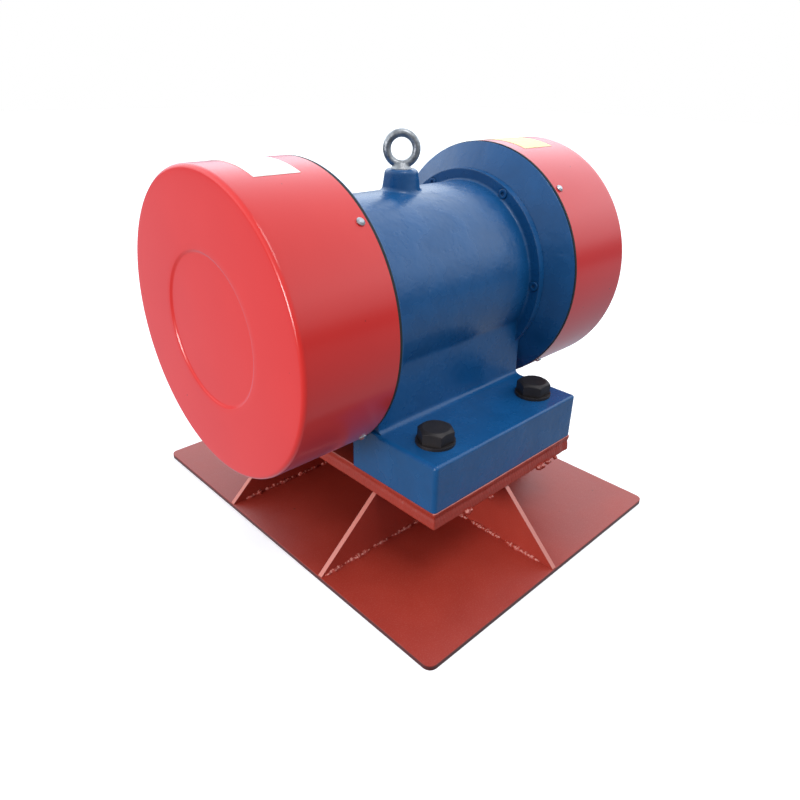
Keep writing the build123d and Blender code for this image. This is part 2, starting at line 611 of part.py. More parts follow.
def outer_bearing_cap():
    """The cap outside the bearing; its lip holds the outer ring."""
    lip_bore = CAP_SPIGOT_RADIUS - CAP_LIP_WALL
    cap = turned([
        (BEARING_END, lip_bore), (BEARING_END, CAP_SPIGOT_RADIUS), (SHIELD_HUB_END, CAP_SPIGOT_RADIUS),
        (SHIELD_HUB_END, CAP_RADIUS), (OUTER_CAP_FACE - CAP_EDGE_CHAMFER, CAP_RADIUS),
        (OUTER_CAP_FACE, CAP_RADIUS - CAP_EDGE_CHAMFER),
        (OUTER_CAP_FACE, OUTER_CAP_BORE_RADIUS), (SHIELD_HUB_END, OUTER_CAP_BORE_RADIUS),
        (SHIELD_HUB_END, lip_bore)])
    for cut in ring_of(cap_screw_hole(SHIELD_HUB_END, OUTER_CAP_FACE), CAP_SCREWS, 45):
        cap -= cut
    return cap


def inner_bearing_cap():
    """The cap inside the bearing, drawn against the shield by the long cap screws."""
    lip_bore = CAP_SPIGOT_RADIUS - CAP_LIP_WALL
    cap = turned([
        (BEARING_START, lip_bore), (BEARING_START, CAP_SPIGOT_RADIUS), (SHIELD_INNER_FACE, CAP_SPIGOT_RADIUS),
        (SHIELD_INNER_FACE, CAP_RADIUS), (INNER_CAP_FACE, CAP_RADIUS), (INNER_CAP_FACE, CAP_BORE_RADIUS),
        (SHIELD_INNER_FACE, CAP_BORE_RADIUS), (SHIELD_INNER_FACE, lip_bore)])
    for cut in ring_of(cap_screw_hole(INNER_CAP_FACE, SHIELD_INNER_FACE), CAP_SCREWS, 45):
        cap -= cut
    return cap


def cap_screws():
    """Long screws through the outer cap and the shield's hub into the inner cap."""
    z = CAP_SCREW_CIRCLE_RADIUS
    screw = round_bar_x(INNER_CAP_FACE, OUTER_CAP_FACE, CAP_SCREW_RADIUS, z=z)
    screw += round_bar_x(OUTER_CAP_FACE, OUTER_CAP_FACE + CAP_SCREW_HEAD, CAP_SCREW_HEAD_RADIUS, z=z)
    right = ring_of(screw, CAP_SCREWS, 45)
    return group(right + [mirror(s, about=Plane.YZ) for s in right])


def bearing_outer_ring():
    """Outer ring with a lip each side that keeps the rollers in line."""
    raceway = ROLLER_PITCH_RADIUS + ROLLER_RADIUS + ROLLING_CLEARANCE
    half = ROLLER_LENGTH / 2 + ROLLING_CLEARANCE
    return turned([
        (BEARING_START, raceway - BEARING_LIP), (BEARING_START, BEARING_OUTER_RADIUS),
        (BEARING_END, BEARING_OUTER_RADIUS), (BEARING_END, raceway - BEARING_LIP),
        (BEARING_CENTRE + half, raceway - BEARING_LIP), (BEARING_CENTRE + half, raceway),
        (BEARING_CENTRE - half, raceway), (BEARING_CENTRE - half, raceway - BEARING_LIP)])


def bearing_inner_ring():
    raceway = ROLLER_PITCH_RADIUS - ROLLER_RADIUS - ROLLING_CLEARANCE
    return tube(BEARING_START, BEARING_END, raceway, BEARING_BORE_RADIUS + FIT_CLEARANCE)


def bearing_rollers():
    half = ROLLER_LENGTH / 2
    roller = round_bar_x(BEARING_CENTRE - half, BEARING_CENTRE + half, ROLLER_RADIUS, z=ROLLER_PITCH_RADIUS)
    return group(ring_of(roller, ROLLERS))


def bearing_cage():
    """The window cage: a ring whose pockets keep the rollers apart."""
    half = ROLLER_LENGTH / 2 + CAGE_SIDE
    cage = tube(
        BEARING_CENTRE - half, BEARING_CENTRE + half,
        ROLLER_PITCH_RADIUS + CAGE_THICKNESS / 2, ROLLER_PITCH_RADIUS - CAGE_THICKNESS / 2)
    pocket_half = ROLLER_LENGTH / 2 + ROLLING_CLEARANCE
    pocket = round_bar_x(
        BEARING_CENTRE - pocket_half, BEARING_CENTRE + pocket_half, ROLLER_RADIUS + ROLLING_CLEARANCE,
        z=ROLLER_PITCH_RADIUS)
    for cut in ring_of(pocket, ROLLERS):
        cage -= cut
    return cage


def slot_bars(length, width, bottom, top):
    """Radial bars along X, one for each stator slot, between two radii."""
    bar = Pos(0, 0, SHAFT_Z + (bottom + top) / 2) * Box(length, width, top - bottom)
    return ring_of(bar, STATOR_SLOTS)


def stator_core():
    """The laminated ring, with open slots that hold the winding."""
    core = tube(-CORE_HALF, CORE_HALF, BORE_RADIUS - FIT_CLEARANCE, STATOR_BORE_RADIUS)
    for cut in slot_bars(
            CORE_LENGTH, STATOR_SLOT_WIDTH, STATOR_BORE_RADIUS - 1, STATOR_BORE_RADIUS + STATOR_SLOT_DEPTH):
        core -= cut
    return core


def stator_winding():
    """The winding: bars of wire in the slots, joined by a bevelled bundle at each end."""
    bottom = STATOR_BORE_RADIUS + SLOT_LIP
    top = STATOR_BORE_RADIUS + STATOR_SLOT_DEPTH - SLOT_CLEARANCE
    bundle_top = bottom + WINDING_RADIAL_DEPTH
    start = CORE_HALF + SLOT_CLEARANCE
    end = CORE_HALF + WINDING_OVERHANG
    bundle = turned([
        (start, bottom), (start, bundle_top - WINDING_BEVEL), (start + WINDING_BEVEL, bundle_top),
        (end - WINDING_BEVEL, bundle_top), (end, bundle_top - WINDING_BEVEL),
        (end, bottom + WINDING_BEVEL), (end - WINDING_BEVEL, bottom)])
    winding = bundle + mirror(bundle, about=Plane.YZ)
    length = 2 * (start + WINDING_OVERHANG / 2)
    for bar in slot_bars(length, STATOR_SLOT_WIDTH - 2 * SLOT_CLEARANCE, bottom + SLOT_BAR_INSET, top):
        winding += bar
    return winding


def rotor_bars(radius, length):
    bar = round_bar_x(-length / 2, length / 2, radius, z=ROTOR_RADIUS - ROTOR_BAR_DEPTH)
    return ring_of(bar, ROTOR_BARS)


def rotor_core():
    core = tube(-CORE_HALF, CORE_HALF, ROTOR_RADIUS, SHAFT_CORE_RADIUS + FIT_CLEARANCE)
    for cut in rotor_bars(ROTOR_BAR_RADIUS + FIT_CLEARANCE, CORE_LENGTH):
        core -= cut
    return core


def rotor_cage():
    """The cast cage: bars through the core, a ring at each end and fan blades on the rings."""
    outer = ROTOR_RADIUS - AIR_GAP
    ring = tube(CORE_HALF, CORE_HALF + ROTOR_RING_LENGTH, outer, outer - ROTOR_RING_DEPTH)
    blade_middle = outer - ROTOR_RING_DEPTH / 2
    blade = Pos(CORE_HALF + ROTOR_RING_LENGTH + FAN_BLADE_LENGTH / 2, 0, SHAFT_Z + blade_middle) * Box(
        FAN_BLADE_LENGTH, FAN_BLADE_THICKNESS, ROTOR_RING_DEPTH)
    for copy in ring_of(blade, FAN_BLADES):
        ring += copy
    cage = ring + mirror(ring, about=Plane.YZ)
    for bar in rotor_bars(ROTOR_BAR_RADIUS, CORE_LENGTH + ROTOR_RING_LENGTH):
        cage += bar
    return cage


def key_box(clearance):
    """The key's block on top of the shaft, wider and taller by a clearance on each side."""
    bottom = SHAFT_WEIGHT_RADIUS - KEY_DEPTH_IN_SHAFT
    middle = WEIGHT_START + WEIGHT_THICKNESS / 2
    return Pos(middle, 0, SHAFT_Z + bottom + KEY_HEIGHT / 2) * Box(
        KEY_LENGTH + 2 * clearance, KEY_WIDTH + 2 * clearance, KEY_HEIGHT + 2 * clearance)


def shaft():
    """The stepped shaft, with keyways for the fixed weights and grooves for the retaining rings."""
    core_seat = CORE_HALF + CORE_SEAT_MARGIN
    groove = SHAFT_WEIGHT_RADIUS - RETAINING_RING_DEPTH
    ring_end = RING_START + RETAINING_RING_THICKNESS + FIT_CLEARANCE
    chamfer_start = SHAFT_END - SHAFT_END_CHAMFER
    right = [
        (core_seat, SHAFT_CORE_RADIUS), (core_seat, SHAFT_SHOULDER_RADIUS),
        (BEARING_START, SHAFT_SHOULDER_RADIUS), (BEARING_START, BEARING_BORE_RADIUS),
        (WEIGHT_START, BEARING_BORE_RADIUS), (WEIGHT_START, SHAFT_WEIGHT_RADIUS),
        (RING_START - FIT_CLEARANCE, SHAFT_WEIGHT_RADIUS), (RING_START - FIT_CLEARANCE, groove),
        (ring_end, groove), (ring_end, SHAFT_WEIGHT_RADIUS),
        (chamfer_start, SHAFT_WEIGHT_RADIUS), (SHAFT_END, SHAFT_WEIGHT_RADIUS - SHAFT_END_CHAMFER),
        (SHAFT_END, 0)]
    left = [(-x, r) for x, r in reversed(right)]
    bar = turned(left + right)
    keyway = key_box(SCREW_CLEARANCE)
    return bar - keyway - mirror(keyway, about=Plane.YZ)


def weight_keys():
    key = fillet(key_box(0).edges().filter_by(Axis.Z), KEY_WIDTH / 2 - 0.5)
    return group([key, mirror(key, about=Plane.YZ)])


def sector(radius, half_angle):
    """A sector of a disc in the YZ plane, hanging down from the shaft axis."""
    side = radians(half_angle)
    start = (-radius * sin(side), -radius * cos(side))
    end = (radius * sin(side), -radius * cos(side))
    return make_face(Line((0, 0), start) + RadiusArc(start, end, -radius) + Line(end, (0, 0)))


def weight_outline():
    outline = sector(WEIGHT_RADIUS, WEIGHT_HALF_ANGLE) + Circle(WEIGHT_HUB_RADIUS)
    rim = [v for v in outline.vertices() if sqrt(v.X ** 2 + v.Y ** 2) > WEIGHT_RADIUS - 0.01]
    return fillet(rim, WEIGHT_CORNER_RADIUS)


def weight_plate(start, outline):
    plate = extrude(Plane.YZ * outline, amount=WEIGHT_THICKNESS)
    return Pos(start, 0, SHAFT_Z) * plate


def fixed_weight():
    """The inner weight: a heavy sector keyed to the shaft."""
    weight = weight_plate(WEIGHT_START, weight_outline())
    weight -= tube(WEIGHT_START, ADJUSTABLE_START, SHAFT_WEIGHT_RADIUS + FIT_CLEARANCE)
    return weight - key_box(SCREW_CLEARANCE)


def adjustable_weight():
    """The outer weight: a sector with a slit hub that a clamp bolt closes on the shaft."""
    ears = Pos(0, CLAMP_EAR_TOP / 2) * Rectangle(CLAMP_EAR_WIDTH, CLAMP_EAR_TOP)
    outline = weight_outline() + ears
    corners = [v for v in outline.vertices() if abs(v.Y - CLAMP_EAR_TOP) < 0.01]
    outline = fillet(corners, FOOT_CORNER_RADIUS)
    outline -= Pos(0, CLAMP_EAR_TOP / 2) * Rectangle(CLAMP_SLIT, CLAMP_EAR_TOP)
    weight = weight_plate(ADJUSTABLE_START, outline)
    weight -= tube(ADJUSTABLE_START, RING_START, SHAFT_WEIGHT_RADIUS + RUNNING_CLEARANCE)
    middle = ADJUSTABLE_START + WEIGHT_THICKNESS / 2
    half = CLAMP_EAR_WIDTH / 2
    bolt_z = SHAFT_Z + CLAMP_BOLT_HEIGHT
    return weight - round_bar_y(-half, half, CLAMP_BOLT_RADIUS + SCREW_CLEARANCE, middle, bolt_z)


def clamp_bolt():
    """The hexagon bolt across the clamp's ears, with its nut."""
    middle = ADJUSTABLE_START + WEIGHT_THICKNESS / 2
    half = CLAMP_EAR_WIDTH / 2
    place = Pos(middle, 0, SHAFT_Z + CLAMP_BOLT_HEIGHT)
    head = hexagon_head(CLAMP_BOLT_FLATS, CLAMP_BOLT_HEAD)
    tip = half + CLAMP_BOLT_HEAD + CLAMP_BOLT_PROTRUSION
    bolt = Pos(0, (tip - half) / 2, 0) * Rot(90, 0, 0) * Cylinder(CLAMP_BOLT_RADIUS, tip + half)
    bolt += Pos(0, -half, 0) * Rot(90, 0, 0) * head
    nut = Pos(0, half, 0) * Rot(-90, 0, 0) * head
    nut -= Pos(0, half + CLAMP_BOLT_HEAD / 2, 0) * Rot(90, 0, 0) * Cylinder(
        CLAMP_BOLT_RADIUS + SCREW_CLEARANCE, CLAMP_BOLT_HEAD)
    return group([place * bolt, place * nut])


def retaining_rings():
    """Open spring rings in the shaft's end grooves."""
    end = RING_START + RETAINING_RING_THICKNESS
    bore = SHAFT_WEIGHT_RADIUS - RETAINING_RING_DEPTH + FIT_CLEARANCE
    ring = tube(RING_START, end, RETAINING_RING_RADIUS, bore)
    ring -= Pos((RING_START + end) / 2, 0, SHAFT_Z + SHAFT_WEIGHT_RADIUS) * Box(
        RETAINING_RING_THICKNESS, RETAINING_RING_GAP, 2 * RETAINING_RING_RADIUS - SHAFT_WEIGHT_RADIUS)
    return group([ring, mirror(ring, about=Plane.YZ)])


def lifting_eye():
    """The eye bolt: a ring on a collar, with the shank in the frame's boss."""
    centre = BOSS_TOP + EYE_RING_RADIUS + EYE_WIRE_RADIUS
    ring = Pos(0, 0, centre) * Rot(0, 0, EYE_TURN) * Rot(90, 0, 0) * Torus(EYE_RING_RADIUS, EYE_WIRE_RADIUS)
    collar = Pos(0, 0, BOSS_TOP + EYE_COLLAR_HEIGHT / 2) * Cone(
        EYE_COLLAR_RADIUS, EYE_COLLAR_RADIUS - EYE_WIRE_RADIUS, EYE_COLLAR_HEIGHT)
    hole = Pos(0, 0, centre) * Rot(0, 0, EYE_TURN) * Rot(90, 0, 0) * Cylinder(
        EYE_RING_RADIUS - EYE_WIRE_RADIUS, 2 * EYE_COLLAR_RADIUS)
    shank = round_bar_z(BOSS_TOP - EYE_SHANK_LENGTH, BOSS_TOP, EYE_SHANK_RADIUS)
    return ring + (collar - hole) + shank


def foot_bolts():
    bolt = Pos(0, 0, WASHER_THICKNESS) * hexagon_head(FOOT_BOLT_FLATS, FOOT_BOLT_HEAD)
    bolt += round_bar_z(WASHER_THICKNESS - FOOT_BOLT_LENGTH, WASHER_THICKNESS, FOOT_BOLT_RADIUS)
    return group(Pos(x, y, FOOT_TOP) * bolt for x, y in foot_bolt_places())


def foot_washers():
    bore = FOOT_BOLT_RADIUS + SEAL_CLEARANCE
    washer = Cylinder(WASHER_RADIUS, WASHER_THICKNESS) - Cylinder(bore, WASHER_THICKNESS)
    height = FOOT_TOP + WASHER_THICKNESS / 2
    return group(Pos(x, y, height) * washer for x, y in foot_bolt_places())


def lid_screw_places():
    inset = LID_POST_RADIUS + BOX_WALL / 2
    x = BOX_LENGTH / 2 - inset
    y = BOX_DEPTH / 2 - inset
    return [(i * x, BOX_MIDDLE + j * y) for i in (-1, 1) for j in (-1, 1)]


def box_hollow(height):
    """The block of space inside the box's walls."""
    corner = BOX_CORNER_RADIUS - BOX_WALL
    return rounded_block(BOX_LENGTH - 2 * BOX_WALL, BOX_DEPTH - 2 * BOX_WALL, height, corner)


def terminal_box():
    """The cast box on the frame's side pad, open at the top, with a screw post in each corner."""
    box = Pos(0, BOX_MIDDLE, BOX_BOTTOM + BOX_HEIGHT / 2) * rounded_block(
        BOX_LENGTH, BOX_DEPTH, BOX_HEIGHT, BOX_CORNER_RADIUS)
    hollow_height = BOX_HEIGHT - BOX_WALL
    box -= Pos(0, BOX_MIDDLE, BOX_FLOOR + hollow_height / 2) * box_hollow(hollow_height)
    depth = LID_SCREW_LENGTH - LID_THICKNESS
    for x, y in lid_screw_places():
        box += round_bar_z(BOX_FLOOR, BOX_TOP, LID_POST_RADIUS, x, y)
        box -= round_bar_z(BOX_TOP - depth, BOX_TOP, LID_SCREW_RADIUS + SCREW_CLEARANCE, x, y)
    box -= round_bar_y(BOX_FRONT, BOX_SEAT, WIRE_HOLE_RADIUS, 0, SHAFT_Z)
    for x, z in box_screw_places():
        box -= round_bar_y(BOX_FRONT, BOX_SEAT, BOX_SCREW_RADIUS + SCREW_CLEARANCE, x, z)
    box -= round_bar_y(BOX_BACK - BOX_WALL, BOX_BACK, GLAND_THREAD_RADIUS + SCREW_CLEARANCE, 0, GLAND_Z)
    return box


def terminal_box_gasket():
    sheet = extrude(
        Plane.XZ * RectangleRounded(PAD_LENGTH, PAD_HEIGHT, PAD_CORNER_RADIUS), amount=-GASKET_THICKNESS)
    gasket = Pos(0, PAD_FACE, SHAFT_Z) * sheet
    gasket -= round_bar_y(PAD_FACE, BOX_FRONT, WIRE_HOLE_RADIUS, 0, SHAFT_Z)
    for x, z in box_screw_places():
        gasket -= round_bar_y(PAD_FACE, BOX_FRONT, BOX_SCREW_RADIUS + SCREW_CLEARANCE, x, z)
    return gasket


def terminal_box_screws():
    """Socket screws from inside the box into the frame's pad."""
    screws = []
    for x, z in box_screw_places():
        screw = round_bar_y(BOX_SCREW_TIP, BOX_SEAT, BOX_SCREW_RADIUS, x, z)
        screw += round_bar_y(BOX_SEAT, BOX_SEAT + BOX_SCREW_HEAD, BOX_SCREW_HEAD_RADIUS, x, z)
        screws.append(screw)
    return group(screws)


def terminal_lid_gasket():
    """A flat seal round the box's rim."""
    seal = rounded_block(BOX_LENGTH, BOX_DEPTH, GASKET_THICKNESS, BOX_CORNER_RADIUS)
    seal = Pos(0, BOX_MIDDLE, BOX_TOP + GASKET_THICKNESS / 2) * (seal - box_hollow(GASKET_THICKNESS))
    for x, y in lid_screw_places():
        seal += round_bar_z(BOX_TOP, LID_BOTTOM, LID_POST_RADIUS, x, y)
        seal -= round_bar_z(BOX_TOP, LID_BOTTOM, LID_SCREW_RADIUS + SCREW_CLEARANCE, x, y)
    return seal


def terminal_lid():
    lid = rounded_block(BOX_LENGTH, BOX_DEPTH, LID_THICKNESS, BOX_CORNER_RADIUS)
    lid = fillet(lid.edges().group_by(Axis.Z)[-1], LID_EDGE_RADIUS)
    lid = Pos(0, BOX_MIDDLE, LID_BOTTOM + LID_THICKNESS / 2) * lid
    for x, y in lid_screw_places():
        lid -= round_bar_z(LID_BOTTOM, LID_TOP, LID_SCREW_RADIUS + SCREW_CLEARANCE, x, y)
    return lid


def terminal_lid_screws():
    screws = []
    for x, y in lid_screw_places():
        screw = round_bar_z(LID_TOP - LID_SCREW_LENGTH, LID_TOP, LID_SCREW_RADIUS, x, y)
        screw += round_bar_z(LID_TOP, LID_TOP + LID_SCREW_HEAD, LID_SCREW_HEAD_RADIUS, x, y)
        screws.append(screw)
    return group(screws)


def stud_places():
    return [(i * STUD_PITCH_X, BOX_MIDDLE + j * STUD_PITCH_Y / 2) for i in (-1, 0, 1) for j in (-1, 1)]


def terminal_block():
    """The moulded block that carries six studs, with barriers between the three phases."""
    block = Pos(0, BOX_MIDDLE, BOX_FLOOR + BLOCK_HEIGHT / 2) * Box(BLOCK_LENGTH, BLOCK_WIDTH, BLOCK_HEIGHT)
    for i in (-1, 1):
        block += Pos(i * STUD_PITCH_X / 2, BOX_MIDDLE, BOX_FLOOR + BLOCK_HEIGHT + BLOCK_BARRIER / 2) * Box(
            BLOCK_BARRIER_THICKNESS, BLOCK_WIDTH, BLOCK_BARRIER)
    for x, y in stud_places():
        bottom = BOX_FLOOR + BLOCK_BARRIER
        block -= round_bar_z(bottom, BOX_FLOOR + BLOCK_HEIGHT, STUD_RADIUS + SCREW_CLEARANCE, x, y)
    return block


def terminal_studs():
    """Brass studs, each with its nut, in the terminal block."""
    nut = extrude(RegularPolygon(hexagon_radius(STUD_NUT_FLATS), 6), amount=STUD_NUT_HEIGHT)
    bottom = BOX_FLOOR + BLOCK_BARRIER
    studs = []
    for x, y in stud_places():
        stud = round_bar_z(bottom, bottom + STUD_LENGTH, STUD_RADIUS, x, y)
        studs.append(stud + Pos(x, y, BOX_FLOOR + BLOCK_HEIGHT) * nut)
    return group(studs)


def gland_body():
    """The gland's body: thread through the box wall, hexagon flange and stem."""
    flange_end = BOX_BACK + GLAND_FLANGE
    body = round_bar_y(BOX_BACK - BOX_WALL, flange_end, GLAND_THREAD_RADIUS, 0, GLAND_Z)
    hexagon = extrude(RegularPolygon(hexagon_radius(GLAND_FLATS), 6), amount=GLAND_FLANGE)
    body += Pos(0, BOX_BACK, GLAND_Z) * Rot(-90, 0, 0) * hexagon
    body += round_bar_y(flange_end, GLAND_STEM_END, GLAND_THREAD_RADIUS - RUNNING_CLEARANCE, 0, GLAND_Z)
    return body - round_bar_y(BOX_BACK - BOX_WALL, GLAND_STEM_END, GLAND_BORE_RADIUS, 0, GLAND_Z)


def gland_nut():
    """The dome nut over the gland's stem."""
    end = GLAND_NUT_START + GLAND_NUT_LENGTH
    nut = Pos(0, GLAND_NUT_START, GLAND_Z) * Rot(-90, 0, 0) * hexagon_head(GLAND_FLATS, GLAND_NUT_LENGTH)
    thread_end = GLAND_STEM_END + SEAL_CLEARANCE
    seal_end = thread_end + GLAND_SEAL_LENGTH
    seal_radius = GLAND_BORE_RADIUS + GLAND_SEAL_WALL + SEAL_CLEARANCE
    nut -= round_bar_y(GLAND_NUT_START, thread_end, GLAND_THREAD_RADIUS + RUNNING_CLEARANCE, 0, GLAND_Z)
    nut -= round_bar_y(GLAND_NUT_START, seal_end, seal_radius, 0, GLAND_Z)
    return nut - round_bar_y(GLAND_NUT_START, end, GLAND_BORE_RADIUS, 0, GLAND_Z)


def gland_seal():
    """The rubber ring that the nut presses on the cable."""
    start = GLAND_STEM_END + SEAL_CLEARANCE / 2
    end = start + GLAND_SEAL_LENGTH
    seal = round_bar_y(start, end, GLAND_BORE_RADIUS + GLAND_SEAL_WALL, 0, GLAND_Z)
    return seal - round_bar_y(start, end, GLAND_BORE_RADIUS, 0, GLAND_Z)


def all_nodes():
    nodes = {
        "base_plate": base_plate(),
        "long_rib_front": long_rib(-RIB_SPACING / 2),
        "long_rib_rear": long_rib(RIB_SPACING / 2),
        "cross_rib_front": cross_rib(-1),
        "cross_rib_rear": cross_rib(1),
        "cross_rib_middle": middle_rib(),
        "top_plate": top_plate(),
        "motor_frame": motor_frame(),
        "shield_screws": shield_screws(),
        "cap_screws": cap_screws(),
        "cover_screws": cover_screws(),
        "stator_core": stator_core(),
        "stator_winding": stator_winding(),
        "rotor_core": rotor_core(),
        "rotor_cage": rotor_cage(),
        "shaft": shaft(),
        "weight_keys": weight_keys(),
        "retaining_rings": retaining_rings(),
        "lifting_eye": lifting_eye(),
        "foot_bolts": foot_bolts(),
        "foot_washers": foot_washers(),
        "terminal_box": terminal_box(),
        "terminal_box_gasket": terminal_box_gasket(),
        "terminal_box_screws": terminal_box_screws(),
        "terminal_lid_gasket": terminal_lid_gasket(),
        "terminal_lid": terminal_lid(),
        "terminal_lid_screws": terminal_lid_screws(),
        "terminal_block": terminal_block(),
        "terminal_studs": terminal_studs(),
        "gland_body": gland_body(),
        "gland_nut": gland_nut(),
        "gland_seal": gland_seal(),
    }
    pairs = {
        "end_shield": end_shield,
        "cover_seal": cover_seal,
        "weight_cover": weight_cover,
        "outer_bearing_cap": outer_bearing_cap,
        "inner_bearing_cap": inner_bearing_cap,
        "bearing_outer_ring": bearing_outer_ring,
        "bearing_inner_ring": bearing_inner_ring,
        "bearing_rollers": bearing_rollers,
        "bearing_cage": bearing_cage,
        "fixed_weight": fixed_weight,
        "adjustable_weight": adjustable_weight,
        "clamp_bolt": clamp_bolt,
    }
    for name, make in pairs.items():
        nodes.update(both_sides(name, make()))
    return nodes


os.makedirs("parts", exist_ok=True)
for name, solid in all_nodes().items():
    export_step(solid, "parts/" + name + ".step")
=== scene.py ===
import bpy
import numpy as np
from mathutils import Matrix, Vector


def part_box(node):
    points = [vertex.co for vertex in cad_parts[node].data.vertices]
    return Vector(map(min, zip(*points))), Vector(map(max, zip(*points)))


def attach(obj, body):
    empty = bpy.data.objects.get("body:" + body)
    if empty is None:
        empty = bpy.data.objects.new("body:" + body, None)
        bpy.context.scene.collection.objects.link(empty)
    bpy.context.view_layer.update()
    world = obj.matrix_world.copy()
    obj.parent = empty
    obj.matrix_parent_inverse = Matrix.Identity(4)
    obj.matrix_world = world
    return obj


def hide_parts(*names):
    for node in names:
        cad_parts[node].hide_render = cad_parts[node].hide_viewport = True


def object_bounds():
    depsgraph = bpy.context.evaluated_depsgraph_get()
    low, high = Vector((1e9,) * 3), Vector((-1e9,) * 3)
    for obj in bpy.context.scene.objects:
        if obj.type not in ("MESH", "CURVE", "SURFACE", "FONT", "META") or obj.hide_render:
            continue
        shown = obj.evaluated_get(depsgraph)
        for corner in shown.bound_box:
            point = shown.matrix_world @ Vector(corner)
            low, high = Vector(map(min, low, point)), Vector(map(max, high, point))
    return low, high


bl_info = {
    "name": "Vibration motor",
    "version": (1, 0, 0),
    "blender": (4, 5, 0),
    "location": "3D View > Sidebar > Vibration motor",
    "description": "Dresses a packed vibration motor: enamel, primer, welds, covers and a plain studio",
    "category": "Object",
}

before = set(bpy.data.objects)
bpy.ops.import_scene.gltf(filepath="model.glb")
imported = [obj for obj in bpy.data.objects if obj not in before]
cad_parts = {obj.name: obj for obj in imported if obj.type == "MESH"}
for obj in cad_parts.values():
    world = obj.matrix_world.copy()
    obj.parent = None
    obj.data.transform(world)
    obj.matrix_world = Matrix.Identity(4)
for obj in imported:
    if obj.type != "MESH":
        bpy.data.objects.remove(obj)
CAD_LOW, CAD_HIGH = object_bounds()
COVER_LOW, COVER_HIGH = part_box("weight_cover_right")
PLATE_LOW, PLATE_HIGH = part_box("top_plate")
_, BASE_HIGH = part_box("base_plate")
RIB_LOW, RIB_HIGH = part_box("long_rib_rear")
CROSS_LOW, CROSS_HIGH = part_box("cross_rib_rear")

MM = 0.001
SHAFT_HEIGHT = (COVER_LOW.z + COVER_HIGH.z) / 2
COVER_RADIUS = (COVER_HIGH.z - COVER_LOW.z) / 2
IMAGE_PIXELS = 800
FOCAL_PIXELS = 644.17
CAMERA_PLACE = Vector((-0.4501, -0.4671, 0.4316))
CAMERA_AIM = Vector((0.6225, 0.6401, -0.4503))
CAMERA_ROLL = np.radians(1.105)

# Soft boxes: where they stand and their sides, and the top one's power as a share of the key's.
KEY_PLACE, KEY_SIDE = (-1.9, 0.0, 0.34), 0.5
TOP_PLACE, TOP_SIDE, TOP_SHARE = (-0.1, -0.9, 2.2), 1.0, 0.75
# Surrounding light from straight down (0) to straight up (1), its tint, and the way to its brighter side.
SKY = ((0.0, 0.22), (0.43, 0.22), (0.475, 0.06), (0.52, 0.12), (0.57, 0.5), (0.70, 0.9), (1.0, 0.4))
SKY_TINT = (0.84, 0.92, 1.0)
BRIGHT_SIDE = (0.62, 0.64, 0.0)
FLOOR_GAP = 0.0002

# A label's middle along the shaft, its width, and the degrees from the top at which it starts and stops.
LEFT_LABEL = (-0.168, 0.046, 18.8, -22.0)
RIGHT_LABEL = (0.166, 0.052, 17.0, -20.0)
LABEL_ROWS, LABEL_COLUMNS = 49, 9

# Smooth wobbles: waves of the slowest sine in the span, and what brings their sum to about 1.
RIPPLE_PACE, RIPPLE_GAIN = 1.37, 1.8
# A cover's profile starts this far from the shaft's axis.
PROFILE_START = 0.0002

# Weld beads: rows to a pool, sides, radii over which an end closes, share and depth of a pool's scallop, wave
# lengths of the swell and the drift, depth of the lumps, the latest start of a first bead, the shortest bead,
# and the least and most of a bead's and of a gap's usual length.
POOL_ROWS, FEWEST_ROWS, BEAD_SIDES = 5, 10, 12
BEAD_TAPER, POOL_SHARE, POOL_SCALLOP = 1.6, 0.9, 0.14
SWELL_WAVE, DRIFT_WAVE, DRIFT_SHARE, LUMP = 0.06, 0.05, 0.25, 0.12
FIRST_BEAD, SHORTEST_BEAD = 0.004, 0.012
STITCH_SPREAD, GAP_SPREAD = (0.6, 1.4), (0.1, 0.6)
# How far beads stop short of a rib's foot, of its head and of a crossing.
FOOT_SHORT, HEAD_SHORT, CROSSING = 0.004, 0.006, 0.006
# Slag drops: where each starts along the plate's edge, and its run.
SLAG_DROPS = ((0.047, 0.014), (0.063, 0.010), (0.078, 0.006), (-0.066, 0.011), (-0.031, 0.007))

# Flame-cut edge: distance between points, lean of the drag lines, shares of the drag lines, of a slow and a
# rough wander, how far the edge is set back, a groove's depth, level and width as shares of the plate's
# thickness, and the seed and number of sines of both wanders.
EDGE_STEP, DRAG_LEAN = 0.0007, 0.35
DRAG, SLOW, ROUGH, SET_BACK = 0.1, 1.1, 1.6, 1.4
GROOVE, GROOVE_LEVEL, GROOVE_WIDTH = 1.0, 0.62, 0.13
SLOW_WAVES, ROUGH_WAVES = (7, 60), (11, 160)

CASTINGS = (
    "motor_frame", "end_shield_left", "end_shield_right", "terminal_box", "terminal_lid", "shield_screws")
PRIMED = (
    "base_plate", "long_rib_front", "long_rib_rear", "cross_rib_front", "cross_rib_rear", "cross_rib_middle")
BLACK_STEEL = ("foot_bolts", "foot_washers", "clamp_bolt_left", "clamp_bolt_right")
ZINC = ("cover_screws", "terminal_lid_screws", "terminal_box_screws", "cap_screws", "retaining_rings")
GREY_IRON = (
    "outer_bearing_cap_left", "outer_bearing_cap_right", "inner_bearing_cap_left", "inner_bearing_cap_right",
    "fixed_weight_left", "fixed_weight_right", "adjustable_weight_left", "adjustable_weight_right")
GROUND_STEEL = (
    "shaft", "weight_keys", "bearing_outer_ring_left", "bearing_outer_ring_right", "bearing_inner_ring_left",
    "bearing_inner_ring_right", "bearing_rollers_left", "bearing_rollers_right")
BRASS = ("bearing_cage_left", "bearing_cage_right", "terminal_studs")
RUBBER = ("cover_seal_left", "cover_seal_right", "terminal_box_gasket", "terminal_lid_gasket", "gland_seal")


